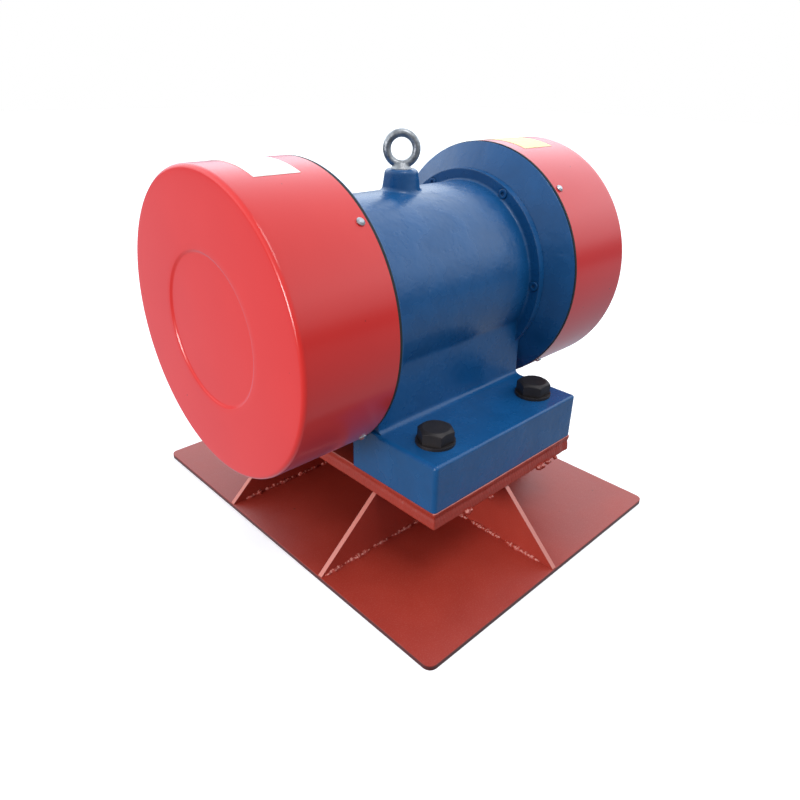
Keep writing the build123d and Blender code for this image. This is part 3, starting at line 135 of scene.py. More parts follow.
def linear(code):
    """Turns an sRGB hex value to linear red, green and blue."""
    parts = np.array([int(code[i:i + 2], 16) for i in (1, 3, 5)]) / 255
    return tuple(np.where(parts <= 0.04045, parts / 12.92, ((parts + 0.055) / 1.055) ** 2.4))


def cells(millimetres):
    """The scale at which a pattern's cell has that size."""
    return 1000 / millimetres


def bands(millimetres):
    """The scale at which the wave pattern, the sine of 20 times the scaled distance, runs on by one radian
    over that distance. Its bands lie 2 pi times as far apart."""
    return cells(millimetres) / 20


def add(tree, kind, sockets=None, **settings):
    """Adds one shader node with its settings, and fills or links its sockets. A colour gets full alpha."""
    node = tree.nodes.new(kind)
    for name, value in settings.items():
        setattr(node, name, value)
    for name, value in (sockets or {}).items():
        socket = node.inputs[name]
        if isinstance(value, bpy.types.NodeSocket):
            tree.links.new(value, socket)
        else:
            socket.default_value = (*value, 1) if socket.type == "RGBA" and len(value) == 3 else value
    return node


def blank(name):
    """A material with an empty tree, and the object coordinates that its patterns read."""
    material = bpy.data.materials.new(name)
    material.use_nodes = True
    material.node_tree.nodes.clear()
    return material, material.node_tree, add(material.node_tree, "ShaderNodeTexCoord").outputs["Object"]


def finish(tree, sockets):
    """Joins a surface's values to the output."""
    surface = add(tree, "ShaderNodeBsdfPrincipled", sockets)
    add(tree, "ShaderNodeOutputMaterial", {"Surface": surface.outputs["BSDF"]})


def paint(name, description, code):
    """A colour that the user can change."""
    return bpy.props.FloatVectorProperty(
        name=name, description=description, subtype="COLOR", size=3, default=linear(code))


def length(name, description, metres):
    """A length that the user can change."""
    return bpy.props.FloatProperty(
        name=name, description=description, default=metres, unit="LENGTH", precision=5)


def cast_enamel(colours):
    """Alkyd enamel sprayed on a sand-cast iron housing: a high gloss over a softly uneven, grainy skin."""
    material, tree, place = blank("Alkyd enamel on sand casting")
    # The mould's sand grain shows through two coats as a 2.5 mm pebble, over the pattern's hollows of 30 mm.
    grain = add(tree, "ShaderNodeTexNoise", {
        "Vector": place, "Scale": cells(2.5), "Detail": 3.0, "Roughness": 0.55})
    waves = add(tree, "ShaderNodeTexNoise", {
        "Vector": place, "Scale": cells(30), "Detail": 3.0, "Roughness": 0.6})
    # Blow holes and grinding pits of 5 mm that the paint has half filled.
    pits = add(tree, "ShaderNodeTexVoronoi", {"Vector": place, "Scale": cells(16)})
    pit = add(tree, "ShaderNodeMapRange", {
        "Value": pits.outputs["Distance"], "From Min": 0.05, "From Max": 0.16},
        interpolation_type="SMOOTHSTEP")
    edge = add(tree, "ShaderNodeBevel", {"Radius": 1.6 * MM}, samples=6)
    skin = add(tree, "ShaderNodeBump", {
        "Height": waves.outputs["Fac"], "Distance": 1.1 * MM, "Normal": edge.outputs["Normal"]})
    pitted = add(tree, "ShaderNodeBump", {
        "Height": pit.outputs["Result"], "Distance": 0.1 * MM, "Normal": skin.outputs["Normal"]})
    fine = add(tree, "ShaderNodeBump", {
        "Height": grain.outputs["Fac"], "Distance": 0.035 * MM, "Normal": pitted.outputs["Normal"]})
    shade = add(tree, "ShaderNodeMix", {
        "Factor": waves.outputs["Fac"], "A": colours.enamel_deep, "B": colours.enamel_light},
        data_type="RGBA")
    gloss = add(tree, "ShaderNodeMapRange", {"Value": waves.outputs["Fac"], "To Min": 0.18, "To Max": 0.36})
    finish(tree, {
        "Base Color": shade.outputs["Result"], "Roughness": gloss.outputs["Result"], "IOR": 1.5,
        "Normal": fine.outputs["Normal"]})
    return material


def sheet_enamel(colours):
    """Baked enamel on spun sheet steel: even and very glossy, with faint orange peel and a film of dust."""
    material, tree, place = blank("Baked enamel on spun sheet")
    # Orange peel is 2 to 3 mm across, and the colour drifts a little over a hand's width.
    peel = add(tree, "ShaderNodeTexNoise", {"Vector": place, "Scale": cells(2.5), "Detail": 1.0})
    drift = add(tree, "ShaderNodeTexNoise", {"Vector": place, "Scale": cells(90), "Detail": 2.0})
    specks = add(tree, "ShaderNodeTexVoronoi", {"Vector": place, "Scale": cells(28)})
    nick = add(tree, "ShaderNodeMapRange", {
        "Value": specks.outputs["Distance"], "From Min": 0.018, "From Max": 0.03,
        "To Min": 1.0, "To Max": 0.0})
    skin = add(tree, "ShaderNodeBump", {"Height": peel.outputs["Fac"], "Distance": 0.02 * MM})
    shade = add(tree, "ShaderNodeMix", {
        "Factor": drift.outputs["Fac"], "A": colours.cover_deep, "B": colours.cover_light},
        data_type="RGBA")
    nicked = add(tree, "ShaderNodeMix", {
        "Factor": nick.outputs["Result"], "A": shade.outputs["Result"], "B": colours.nick}, data_type="RGBA")
    finish(tree, {
        "Base Color": nicked.outputs["Result"], "Roughness": 0.2, "IOR": 1.5, "Sheen Weight": 0.2,
        "Sheen Roughness": 0.4, "Sheen Tint": colours.bloom, "Normal": skin.outputs["Normal"]})
    return material


def red_oxide(colours):
    """Red-oxide primer brushed on hot-rolled plate: satin, streaked and dusty, with a painted highlight on
    its slopes.
    """
    material, tree, place = blank("Red-oxide primer on rolled plate")
    stretched = add(tree, "ShaderNodeMapping", {"Vector": place, "Scale": (0.16, 1.0, 1.0)})
    # Brush streaks are 3 mm wide, mill scale lies in 55 mm patches and dust grains show at 1.2 mm.
    streaks = add(tree, "ShaderNodeTexNoise", {
        "Vector": stretched.outputs["Vector"], "Scale": cells(3), "Detail": 2.0})
    patches = add(tree, "ShaderNodeTexNoise", {
        "Vector": place, "Scale": cells(55), "Detail": 4.0, "Roughness": 0.6})
    dust = add(tree, "ShaderNodeTexNoise", {"Vector": place, "Scale": cells(1.2), "Detail": 2.0})
    chips = add(tree, "ShaderNodeTexVoronoi", {"Vector": place, "Scale": cells(34)})
    chip = add(tree, "ShaderNodeMapRange", {
        "Value": chips.outputs["Distance"], "From Min": 0.02, "From Max": 0.045,
        "To Min": 0.8, "To Max": 0.0})
    edge = add(tree, "ShaderNodeBevel", {"Radius": 0.8 * MM}, samples=4)
    scale = add(tree, "ShaderNodeBump", {
        "Height": patches.outputs["Fac"], "Distance": 0.5 * MM, "Normal": edge.outputs["Normal"]})
    grain = add(tree, "ShaderNodeBump", {
        "Height": streaks.outputs["Fac"], "Distance": 0.05 * MM, "Normal": scale.outputs["Normal"]})
    coat = add(tree, "ShaderNodeMix", {
        "Factor": patches.outputs["Fac"], "A": colours.primer_deep, "B": colours.primer_light},
        data_type="RGBA")
    dusty = add(tree, "ShaderNodeMapRange", {
        "Value": dust.outputs["Fac"], "From Min": 0.5, "From Max": 0.9, "To Max": 0.3})
    powdered = add(tree, "ShaderNodeMix", {
        "Factor": dusty.outputs["Result"], "A": coat.outputs["Result"], "B": colours.dust}, data_type="RGBA")
    chipped = add(tree, "ShaderNodeMix", {
        "Factor": chip.outputs["Result"], "A": powdered.outputs["Result"], "B": colours.scale},
        data_type="RGBA")
    # Torch-cut slopes are the only faces at about 45 degrees; a pale painted highlight lies on them.
    facing = add(tree, "ShaderNodeSeparateXYZ", {
        "Vector": add(tree, "ShaderNodeNewGeometry").outputs["True Normal"]})
    off_slope = add(tree, "ShaderNodeMath", {0: facing.outputs["Z"], 1: 0.7, 2: 0.14}, operation="COMPARE")
    slope = add(tree, "ShaderNodeMath", {0: off_slope.outputs["Value"], 1: 0.55}, operation="MULTIPLY")
    highlighted_slopes = add(tree, "ShaderNodeMix", {
        "Factor": slope.outputs["Value"], "A": chipped.outputs["Result"], "B": colours.slope_highlight},
        data_type="RGBA")
    # The base plate's sheared edge took little paint: below its top face's rim the rolled steel shows dark.
    level = add(tree, "ShaderNodeSeparateXYZ", {"Vector": place}).outputs["Z"]
    sheared = add(tree, "ShaderNodeMapRange", {
        "Value": level, "From Min": BASE_HIGH.z - 1.6 * MM, "From Max": BASE_HIGH.z - 0.3 * MM,
        "To Min": 0.85, "To Max": 0.0})
    edged = add(tree, "ShaderNodeMix", {
        "Factor": sheared.outputs["Result"], "A": highlighted_slopes.outputs["Result"], "B": colours.sheared_edge},
        data_type="RGBA")
    gloss = add(tree, "ShaderNodeMapRange", {"Value": patches.outputs["Fac"], "To Min": 0.3, "To Max": 0.46})
    finish(tree, {
        "Base Color": edged.outputs["Result"], "Roughness": gloss.outputs["Result"], "IOR": 1.5,
        "Normal": grain.outputs["Normal"]})
    return material


def zinc_plate(colours):
    """Zinc plate on steel: bright, faintly blue, dulled in small cloudy spots."""
    material, tree, place = blank("Zinc plate")
    clouds = add(tree, "ShaderNodeTexNoise", {"Vector": place, "Scale": cells(2), "Detail": 4.0})
    shade = add(tree, "ShaderNodeMix", {
        "Factor": clouds.outputs["Fac"], "A": colours.zinc_dull, "B": colours.zinc}, data_type="RGBA")
    gloss = add(tree, "ShaderNodeMapRange", {"Value": clouds.outputs["Fac"], "To Min": 0.2, "To Max": 0.42})
    edge = add(tree, "ShaderNodeBevel", {"Radius": 0.3 * MM}, samples=4)
    finish(tree, {
        "Base Color": shade.outputs["Result"], "Metallic": 1.0, "Roughness": gloss.outputs["Result"],
        "Normal": edge.outputs["Normal"]})
    return material


def forged_zinc(colours):
    """Drop-forged steel, barrel-plated: the forging's grain shows as small dents under a dull zinc coat."""
    material, tree, place = blank("Plated forging")
    dents = add(tree, "ShaderNodeTexNoise", {
        "Vector": place, "Scale": cells(2.2), "Detail": 3.0, "Roughness": 0.6})
    clouds = add(tree, "ShaderNodeTexNoise", {"Vector": place, "Scale": cells(6), "Detail": 3.0})
    edge = add(tree, "ShaderNodeBevel", {"Radius": 1.0 * MM}, samples=4)
    forged = add(tree, "ShaderNodeBump", {
        "Height": dents.outputs["Fac"], "Distance": 0.35 * MM, "Normal": edge.outputs["Normal"]})
    shade = add(tree, "ShaderNodeMix", {
        "Factor": clouds.outputs["Fac"], "A": colours.forging_deep, "B": colours.zinc},
        data_type="RGBA")
    finish(tree, {
        "Base Color": shade.outputs["Result"], "Metallic": 1.0, "Roughness": 0.42,
        "Normal": forged.outputs["Normal"]})
    return material


def black_oxide(colours):
    """Black oxide on forged high-strength steel: a dry brown-black with a dull sheen on its worn edges."""
    material, tree, place = blank("Black oxide on steel")
    grain = add(tree, "ShaderNodeTexNoise", {"Vector": place, "Scale": cells(1.2), "Detail": 3.0})
    clouds = add(tree, "ShaderNodeTexNoise", {"Vector": place, "Scale": cells(9), "Detail": 3.0})
    edge = add(tree, "ShaderNodeBevel", {"Radius": 1.0 * MM}, samples=4)
    skin = add(tree, "ShaderNodeBump", {
        "Height": grain.outputs["Fac"], "Distance": 0.08 * MM, "Normal": edge.outputs["Normal"]})
    shade = add(tree, "ShaderNodeMix", {
        "Factor": clouds.outputs["Fac"], "A": colours.oxide_deep, "B": colours.oxide_worn},
        data_type="RGBA")
    finish(tree, {
        "Base Color": shade.outputs["Result"], "Metallic": 0.35, "Roughness": 0.5,
        "Normal": skin.outputs["Normal"]})
    return material


def machined_iron(colours):
    """Grey cast iron, turned and oiled: dark flake graphite between fine tool rings round the shaft."""
    material, tree, place = blank("Machined grey iron")
    flakes = add(tree, "ShaderNodeTexNoise", {
        "Vector": place, "Scale": cells(0.8), "Detail": 4.0, "Roughness": 0.7})
    centred = add(tree, "ShaderNodeMapping", {"Vector": place, "Location": (0, 0, -SHAFT_HEIGHT)})
    # Tool rings are a feed of 0.3 mm apart on the real face. They are drawn coarser, about 7.5 mm apart.
    rings = add(tree, "ShaderNodeTexWave", {
        "Vector": centred.outputs["Vector"], "Scale": bands(1.2), "Distortion": 0.6},
        wave_type="RINGS", rings_direction="X")
    turned = add(tree, "ShaderNodeBump", {"Height": rings.outputs["Fac"], "Distance": 0.02 * MM})
    shade = add(tree, "ShaderNodeMix", {
        "Factor": flakes.outputs["Fac"], "A": colours.iron_deep, "B": colours.iron}, data_type="RGBA")
    finish(tree, {
        "Base Color": shade.outputs["Result"], "Metallic": 0.9, "Roughness": 0.42,
        "Normal": turned.outputs["Normal"]})
    return material


def ground_steel(colours):
    """Bearing and shaft steel, turned and ground: bright, with fine rings round the axis."""
    material, tree, place = blank("Ground steel")
    # Grinding lines are hundredths of a millimetre apart. They are drawn coarser, about 5 mm apart.
    lines = add(tree, "ShaderNodeTexWave", {
        "Vector": place, "Scale": bands(0.8), "Distortion": 0.4, "Detail": 2.0},
        wave_type="BANDS", bands_direction="X")
    haze = add(tree, "ShaderNodeTexNoise", {"Vector": place, "Scale": cells(7), "Detail": 3.0})
    ground = add(tree, "ShaderNodeBump", {"Height": lines.outputs["Fac"], "Distance": 0.01 * MM})
    gloss = add(tree, "ShaderNodeMapRange", {"Value": haze.outputs["Fac"], "To Min": 0.16, "To Max": 0.32})
    finish(tree, {
        "Base Color": colours.steel, "Metallic": 1.0, "Roughness": gloss.outputs["Result"],
        "Normal": ground.outputs["Normal"]})
    return material


def core_plate(colours):
    """Stacked electrical steel: half-millimetre sheets with a blue-grey varnish between them."""
    material, tree, place = blank("Stacked electrical steel")
    # Sheets are 0.5 mm thick. They are drawn coarser, about 6.3 mm apart.
    sheets = add(tree, "ShaderNodeTexWave", {"Vector": place, "Scale": bands(1.0)}, wave_type="BANDS",
                 bands_direction="X")
    stack = add(tree, "ShaderNodeBump", {"Height": sheets.outputs["Fac"], "Distance": 0.08 * MM})
    shade = add(tree, "ShaderNodeMix", {
        "Factor": sheets.outputs["Fac"], "A": colours.core_varnish, "B": colours.core}, data_type="RGBA")
    finish(tree, {
        "Base Color": shade.outputs["Result"], "Metallic": 0.7, "Roughness": 0.45,
        "Normal": stack.outputs["Normal"]})
    return material


def varnished_copper(colours):
    """Enamelled copper wire, wound and dipped in varnish: glossy amber strands."""
    material, tree, place = blank("Varnished copper wire")
    # Wires are about 1 mm thick. Their strands are drawn coarser, about 12 mm apart and strongly bent.
    strands = add(tree, "ShaderNodeTexWave", {
        "Vector": place, "Scale": bands(1.6), "Distortion": 5.0, "Detail Scale": 1.5},
        wave_type="BANDS", bands_direction="DIAGONAL")
    wound = add(tree, "ShaderNodeBump", {"Height": strands.outputs["Fac"], "Distance": 0.4 * MM})
    shade = add(tree, "ShaderNodeMix", {
        "Factor": strands.outputs["Fac"], "A": colours.varnish, "B": colours.copper}, data_type="RGBA")
    finish(tree, {
        "Base Color": shade.outputs["Result"], "Metallic": 0.5, "Roughness": 0.25, "Coat Weight": 0.6,
        "Normal": wound.outputs["Normal"]})
    return material


def die_cast(colours):
    """Die-cast aluminium, as cast: pale satin with a fine crystal mottle."""
    material, tree, place = blank("Die-cast aluminium")
    mottle = add(tree, "ShaderNodeTexVoronoi", {"Vector": place, "Scale": cells(3)})
    skin = add(tree, "ShaderNodeBump", {"Height": mottle.outputs["Distance"], "Distance": 0.05 * MM})
    shade = add(tree, "ShaderNodeMix", {
        "Factor": mottle.outputs["Distance"], "A": colours.aluminium, "B": colours.aluminium_grey},
        data_type="RGBA")
    finish(tree, {
        "Base Color": shade.outputs["Result"], "Metallic": 1.0, "Roughness": 0.4,
        "Normal": skin.outputs["Normal"]})
    return material


def machined_brass(colours):
    """Free-cutting brass, turned: warm yellow with fine lines and a light tarnish."""
    material, tree, place = blank("Machined brass")
    tarnish = add(tree, "ShaderNodeTexNoise", {"Vector": place, "Scale": cells(5), "Detail": 4.0})
    shade = add(tree, "ShaderNodeMix", {
        "Factor": tarnish.outputs["Fac"], "A": colours.brass, "B": colours.brass_tarnish},
        data_type="RGBA")
    gloss = add(tree, "ShaderNodeMapRange", {"Value": tarnish.outputs["Fac"], "To Min": 0.2, "To Max": 0.4})
    finish(tree, {
        "Base Color": shade.outputs["Result"], "Metallic": 1.0, "Roughness": gloss.outputs["Result"]})
    return material


def sheet_rubber(colours):
    """Nitrile rubber sheet, calendered: matt black with a bloom of dust."""
    material, tree, place = blank("Nitrile rubber sheet")
    bloom = add(tree, "ShaderNodeTexNoise", {"Vector": place, "Scale": cells(1.5), "Detail": 3.0})
    shade = add(tree, "ShaderNodeMix", {
        "Factor": bloom.outputs["Fac"], "A": colours.rubber, "B": colours.rubber_bloom},
        data_type="RGBA")
    skin = add(tree, "ShaderNodeBump", {"Height": bloom.outputs["Fac"], "Distance": 0.05 * MM})
    finish(tree, {"Base Color": shade.outputs["Result"], "Roughness": 0.8, "Normal": skin.outputs["Normal"]})
    return material


def moulded_plastic(colours):
    """Glass-filled polyamide, injection moulded: near black with a fine spark-eroded texture."""
    material, tree, place = blank("Moulded polyamide")
    erosion = add(tree, "ShaderNodeTexNoise", {"Vector": place, "Scale": cells(0.7), "Detail": 2.0})
    edge = add(tree, "ShaderNodeBevel", {"Radius": 0.4 * MM}, samples=4)
    skin = add(tree, "ShaderNodeBump", {
        "Height": erosion.outputs["Fac"], "Distance": 0.06 * MM, "Normal": edge.outputs["Normal"]})
    gloss = add(tree, "ShaderNodeMapRange", {"Value": erosion.outputs["Fac"], "To Min": 0.42, "To Max": 0.6})
    finish(tree, {
        "Base Color": colours.plastic, "Roughness": gloss.outputs["Result"],
        "Normal": skin.outputs["Normal"]})
    return material


def label_film(name, colour, stain):
    """Vinyl film, printed blank: smooth and slightly yellowed, with rubbed patches."""
    material, tree, place = blank(name)
    rubs = add(tree, "ShaderNodeTexNoise", {"Vector": place, "Scale": cells(12), "Detail": 4.0})
    worn = add(tree, "ShaderNodeMapRange", {
        "Value": rubs.outputs["Fac"], "From Min": 0.5, "From Max": 0.8, "To Max": 0.5})
    shade = add(tree, "ShaderNodeMix", {"Factor": worn.outputs["Result"], "A": colour, "B": stain},
                data_type="RGBA")
    gloss = add(tree, "ShaderNodeMapRange", {"Value": rubs.outputs["Fac"], "To Min": 0.25, "To Max": 0.45})
    finish(tree, {"Base Color": shade.outputs["Result"], "Roughness": gloss.outputs["Result"]})
    return material


def pale_floor(colours):
    """Matt studio paper: near white, with the faintest mottle."""
    material, tree, place = blank("Studio paper")
    mottle = add(tree, "ShaderNodeTexNoise", {"Vector": place, "Scale": cells(300), "Detail": 2.0})
    shade = add(tree, "ShaderNodeMix", {
        "Factor": mottle.outputs["Fac"], "A": colours.floor, "B": colours.floor_mottle},
        data_type="RGBA")
    # The paper is lit from below too, as on a light table, so that it stays near white under dim lights.
    finish(tree, {
        "Base Color": shade.outputs["Result"], "Roughness": 0.9, "Emission Color": (1, 1, 1),
        "Emission Strength": 0.34})
    return material


def ripple(span, seed, terms=7):
    """A smooth wobble between about -1 and 1: a sum of sines of falling wavelength with seeded phases."""
    dice = np.random.default_rng(seed)
    phases = dice.uniform(0, 2 * np.pi, terms)
    steps = np.arange(1, terms + 1)

    def height(s):
        turns = 2 * np.pi * np.multiply.outer(s, steps * RIPPLE_PACE) / span + phases
        return (np.sin(turns) / np.sqrt(steps)).sum(-1) / np.sqrt(1 / steps).sum() * RIPPLE_GAIN
    return height


def skin_of(name, grid, around=False, sharp=35):
    """A mesh object from a grid of points, rows by columns. When around is set, columns close on themselves
    and the first and last rows are closed by a face each."""
    rows, columns = grid.shape[:2]
    number = np.arange(rows * columns).reshape(rows, columns)
    if around:
        number = np.concatenate([number, number[:, :1]], axis=1)
    quads = np.stack([number[:-1, :-1], number[:-1, 1:], number[1:, 1:], number[1:, :-1]], axis=-1)
    faces = quads.reshape(-1, 4).tolist()
    if around:
        faces += [number[0, :-1][::-1].tolist(), number[-1, :-1].tolist()]
    mesh = bpy.data.meshes.new(name)
    mesh.from_pydata(grid.reshape(-1, 3).tolist(), [], faces)
    mesh.polygons.foreach_set("use_smooth", np.ones(len(mesh.polygons), bool))
    mesh.set_sharp_from_angle(angle=np.radians(sharp))
    mesh.validate()
    piece = bpy.data.objects.new(name, mesh)
    bpy.context.scene.collection.objects.link(piece)
    return piece


def face_out(piece):
    """Turns every face of a closed piece outwards when its enclosed volume comes out negative."""
    mesh = piece.data
    mesh.calc_loop_triangles()
    corners = np.empty(len(mesh.loop_triangles) * 3, np.int64)
    mesh.loop_triangles.foreach_get("vertices", corners)
    places = np.empty(len(mesh.vertices) * 3)
    mesh.vertices.foreach_get("co", places)
    a, b, c = places.reshape(-1, 3)[corners.reshape(-1, 3)].transpose(1, 0, 2)
    if np.einsum("ij,ij->i", a, np.cross(b, c)).sum() < 0:
        mesh.flip_normals()
    return piece


def settle(piece, body, slot, material, *nodes):
    """Gives a new piece its finish and its body, and hides the nodes that it stands for. The slot is not
    used.
    """
    piece.data.materials.append(material)
    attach(piece, body)
    if nodes:
        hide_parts(*nodes)
    return piece


def dress(nodes, material):
    """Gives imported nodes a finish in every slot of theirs."""
    for name in nodes:
        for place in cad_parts[name].material_slots:
            place.material = material


def cover_profile(shape):
    """Distance from the middle and radius round the cover's wall: from the axis over the dished panel, whose
    slope follows half a cosine, round the corner's quarter circle, along the skirt to the rim, and back
    inside the wall."""
    end = COVER_HIGH.x
    radius = COVER_RADIUS
    corner = shape.corner_radius
    half = shape.panel_slope / 2
    flat = np.linspace(0, shape.panel_radius - half, 10)[1:]
    slope = np.linspace(shape.panel_radius - half, shape.panel_radius + half, 9)[1:]
    annulus = np.linspace(shape.panel_radius + half, radius - corner, 12)[1:]
    turn = np.linspace(0, np.pi / 2, 13)[1:]
    skirt = np.linspace(end - corner, COVER_LOW.x, 16)[1:]
    rise = shape.panel_depth * (0.5 - 0.5 * np.cos(np.pi * (slope - slope[0]) / (slope[-1] - slope[0])))
    outer_x = np.concatenate([
        np.full(len(flat) + 1, end - shape.panel_depth), end - shape.panel_depth + rise,
        np.full(len(annulus), end), end - corner + corner * np.cos(turn), skirt])
    outer_r = np.concatenate([
        [PROFILE_START], flat, slope, annulus, radius - corner + corner * np.sin(turn),
        np.full(len(skirt), radius)])
    inner_r = np.minimum(outer_r, radius - shape.wall)
    inner_x = np.minimum(outer_x - shape.wall * (outer_r < radius - corner), end - shape.wall)
    bend = outer_r > radius - corner
    on_turn = bend & (outer_x > end - corner - 1e-9)
    inner_corner = corner - shape.wall
    inner_x[on_turn] = end - corner + inner_corner * (outer_x[on_turn] - (end - corner)) / corner
    inner_r[on_turn] = radius - corner + inner_corner * (outer_r[on_turn] - (radius - corner)) / corner
    return np.concatenate([outer_x, inner_x[::-1]]), np.concatenate([outer_r, inner_r[::-1]])


def weight_cover(name, side, shape):
    """The cover's profile carried once round the shaft, with the sheet's wobble: the distance from the middle
    gets a sum of slow waves in the angle that fades to nothing at the rim and on the axis."""
    along, radius = cover_profile(shape)
    angle = np.linspace(0, 2 * np.pi, shape.segments, endpoint=False)
    wobble = np.sin(2 * angle + side) + 0.6 * np.sin(3 * angle + 2.1) + 0.4 * np.sin(5 * angle + 0.7)
    share = np.sin(np.pi * np.clip(radius / COVER_RADIUS, 0, 1)) ** 2
    distance = along[:, None] - shape.wobble * share[:, None] * (1 + wobble[None, :] / 2)
    grid = np.stack([
        side * distance, radius[:, None] * np.cos(angle), SHAFT_HEIGHT + radius[:, None] * np.sin(angle)],
        axis=-1)
    return face_out(skin_of(name, grid, around=True, sharp=50))


def wrapped_label(name, middle, width, start, stop, shape):
    """A film on a cover: the loop of a thin rectangle with round corners in plan, carried round the skirt.
    Its half width follows a quarter circle near both ends, and its foot lies on the cover."""
    share = np.linspace(0, 1, LABEL_ROWS)
    arc = COVER_RADIUS * np.radians(stop - start)
    edge = np.minimum(share, 1 - share) * arc
    corner = shape.label_corner
    inset = np.where(edge < corner, corner - np.sqrt(np.clip(corner ** 2 - (corner - edge) ** 2, 0, None)), 0)
    half = width / 2 - inset
    across = np.linspace(-1, 1, LABEL_COLUMNS)
    loop_x = np.concatenate([across, across[::-1]])
    loop_r = shape.label_lift + np.repeat([shape.label_film, 0], LABEL_COLUMNS)
    turn = np.radians(start + (stop - start) * share)[:, None]
    radius = COVER_RADIUS + loop_r[None, :]
    grid = np.stack([
        middle + half[:, None] * loop_x[None, :] + 0 * turn, radius * -np.sin(turn),
        SHAFT_HEIGHT + radius * np.cos(turn)], axis=-1)
    return face_out(skin_of(name, grid, around=True, sharp=30))


def weld_bead(start, stop, shape, seed):
    """One bead as a grid: a circle with three lumps carried along a straight joint, whose middle drifts. Its
    radius is the bead's times the weld pool's scallops and a seeded swell, and closes as a half ellipse at
    both ends."""
    start, stop = np.array(start), np.array(stop)
    reach = np.linalg.norm(stop - start)
    rows = max(int(reach / (shape.pool_pitch / POOL_ROWS)), FEWEST_ROWS)
    share = np.linspace(0, 1, rows)
    s = share * reach
    closing = np.clip(1 - np.minimum(s, reach - s) / (BEAD_TAPER * shape.bead_radius), 0, 1)
    ends = np.sqrt(np.clip(1 - closing ** 2, 0.0004, 1))
    pools = POOL_SHARE + POOL_SCALLOP * np.abs(np.sin(np.pi * s / shape.pool_pitch))
    swell = 1 + shape.wander * ripple(SWELL_WAVE, seed)(s)
    radius = shape.bead_radius * ends * pools * swell
    drift = DRIFT_SHARE * shape.bead_radius * ripple(DRIFT_WAVE, seed + 500)(s)
    along = (stop - start) / reach
    side = np.cross(along, (0, 0, 1) if abs(along[2]) < 0.9 else (0, 1, 0))
    side = side / np.linalg.norm(side)
    lift = np.cross(side, along)
    turn = np.linspace(0, 2 * np.pi, BEAD_SIDES, endpoint=False)
    lumps = 1 + LUMP * np.sin(3 * turn[None, :] + 2 * s[:, None] / shape.bead_radius + seed)
    middle = start + share[:, None] * (stop - start) + drift[:, None] * (side + lift) * 0.5
    ring = np.cos(turn)[None, :, None] * side + np.sin(turn)[None, :, None] * lift
    return middle[:, None, :] + (radius[:, None] * lumps)[:, :, None] * ring


def joined(name, grids):
    """One mesh object from many tubes."""
    pieces = [face_out(skin_of(name, grid, around=True)) for grid in grids]
    offset = 0
    places, faces = [], []
    for piece in pieces:
        mesh = piece.data
        co = np.empty(len(mesh.vertices) * 3)
        mesh.vertices.foreach_get("co", co)
        places.append(co.reshape(-1, 3))
        faces += [[v + offset for v in p.vertices] for p in mesh.polygons]
        offset += len(mesh.vertices)
        bpy.data.objects.remove(piece)
    mesh = bpy.data.meshes.new(name)
    mesh.from_pydata(np.concatenate(places).tolist(), [], faces)
    mesh.polygons.foreach_set("use_smooth", np.ones(len(mesh.polygons), bool))
    made = bpy.data.objects.new(name, mesh)
    bpy.context.scene.collection.objects.link(made)
    return made


def stitches(start, stop, shape, seed):
    """Cuts a joint into hand-laid beads of uneven length with short gaps."""
    start, stop = np.array(start), np.array(stop)
    whole = np.linalg.norm(stop - start)
    dice = np.random.default_rng(seed)
    made = []
    reach = dice.uniform(0, FIRST_BEAD)
    while reach < whole - SHORTEST_BEAD:
        run = min(dice.uniform(*STITCH_SPREAD) * shape.stitch, whole - reach)
        made.append(weld_bead(
            start + (stop - start) * reach / whole, start + (stop - start) * (reach + run) / whole,
            shape, int(dice.integers(1, 9999))))
        reach += run + dice.uniform(*GAP_SPREAD) * shape.stitch_gap
    return made


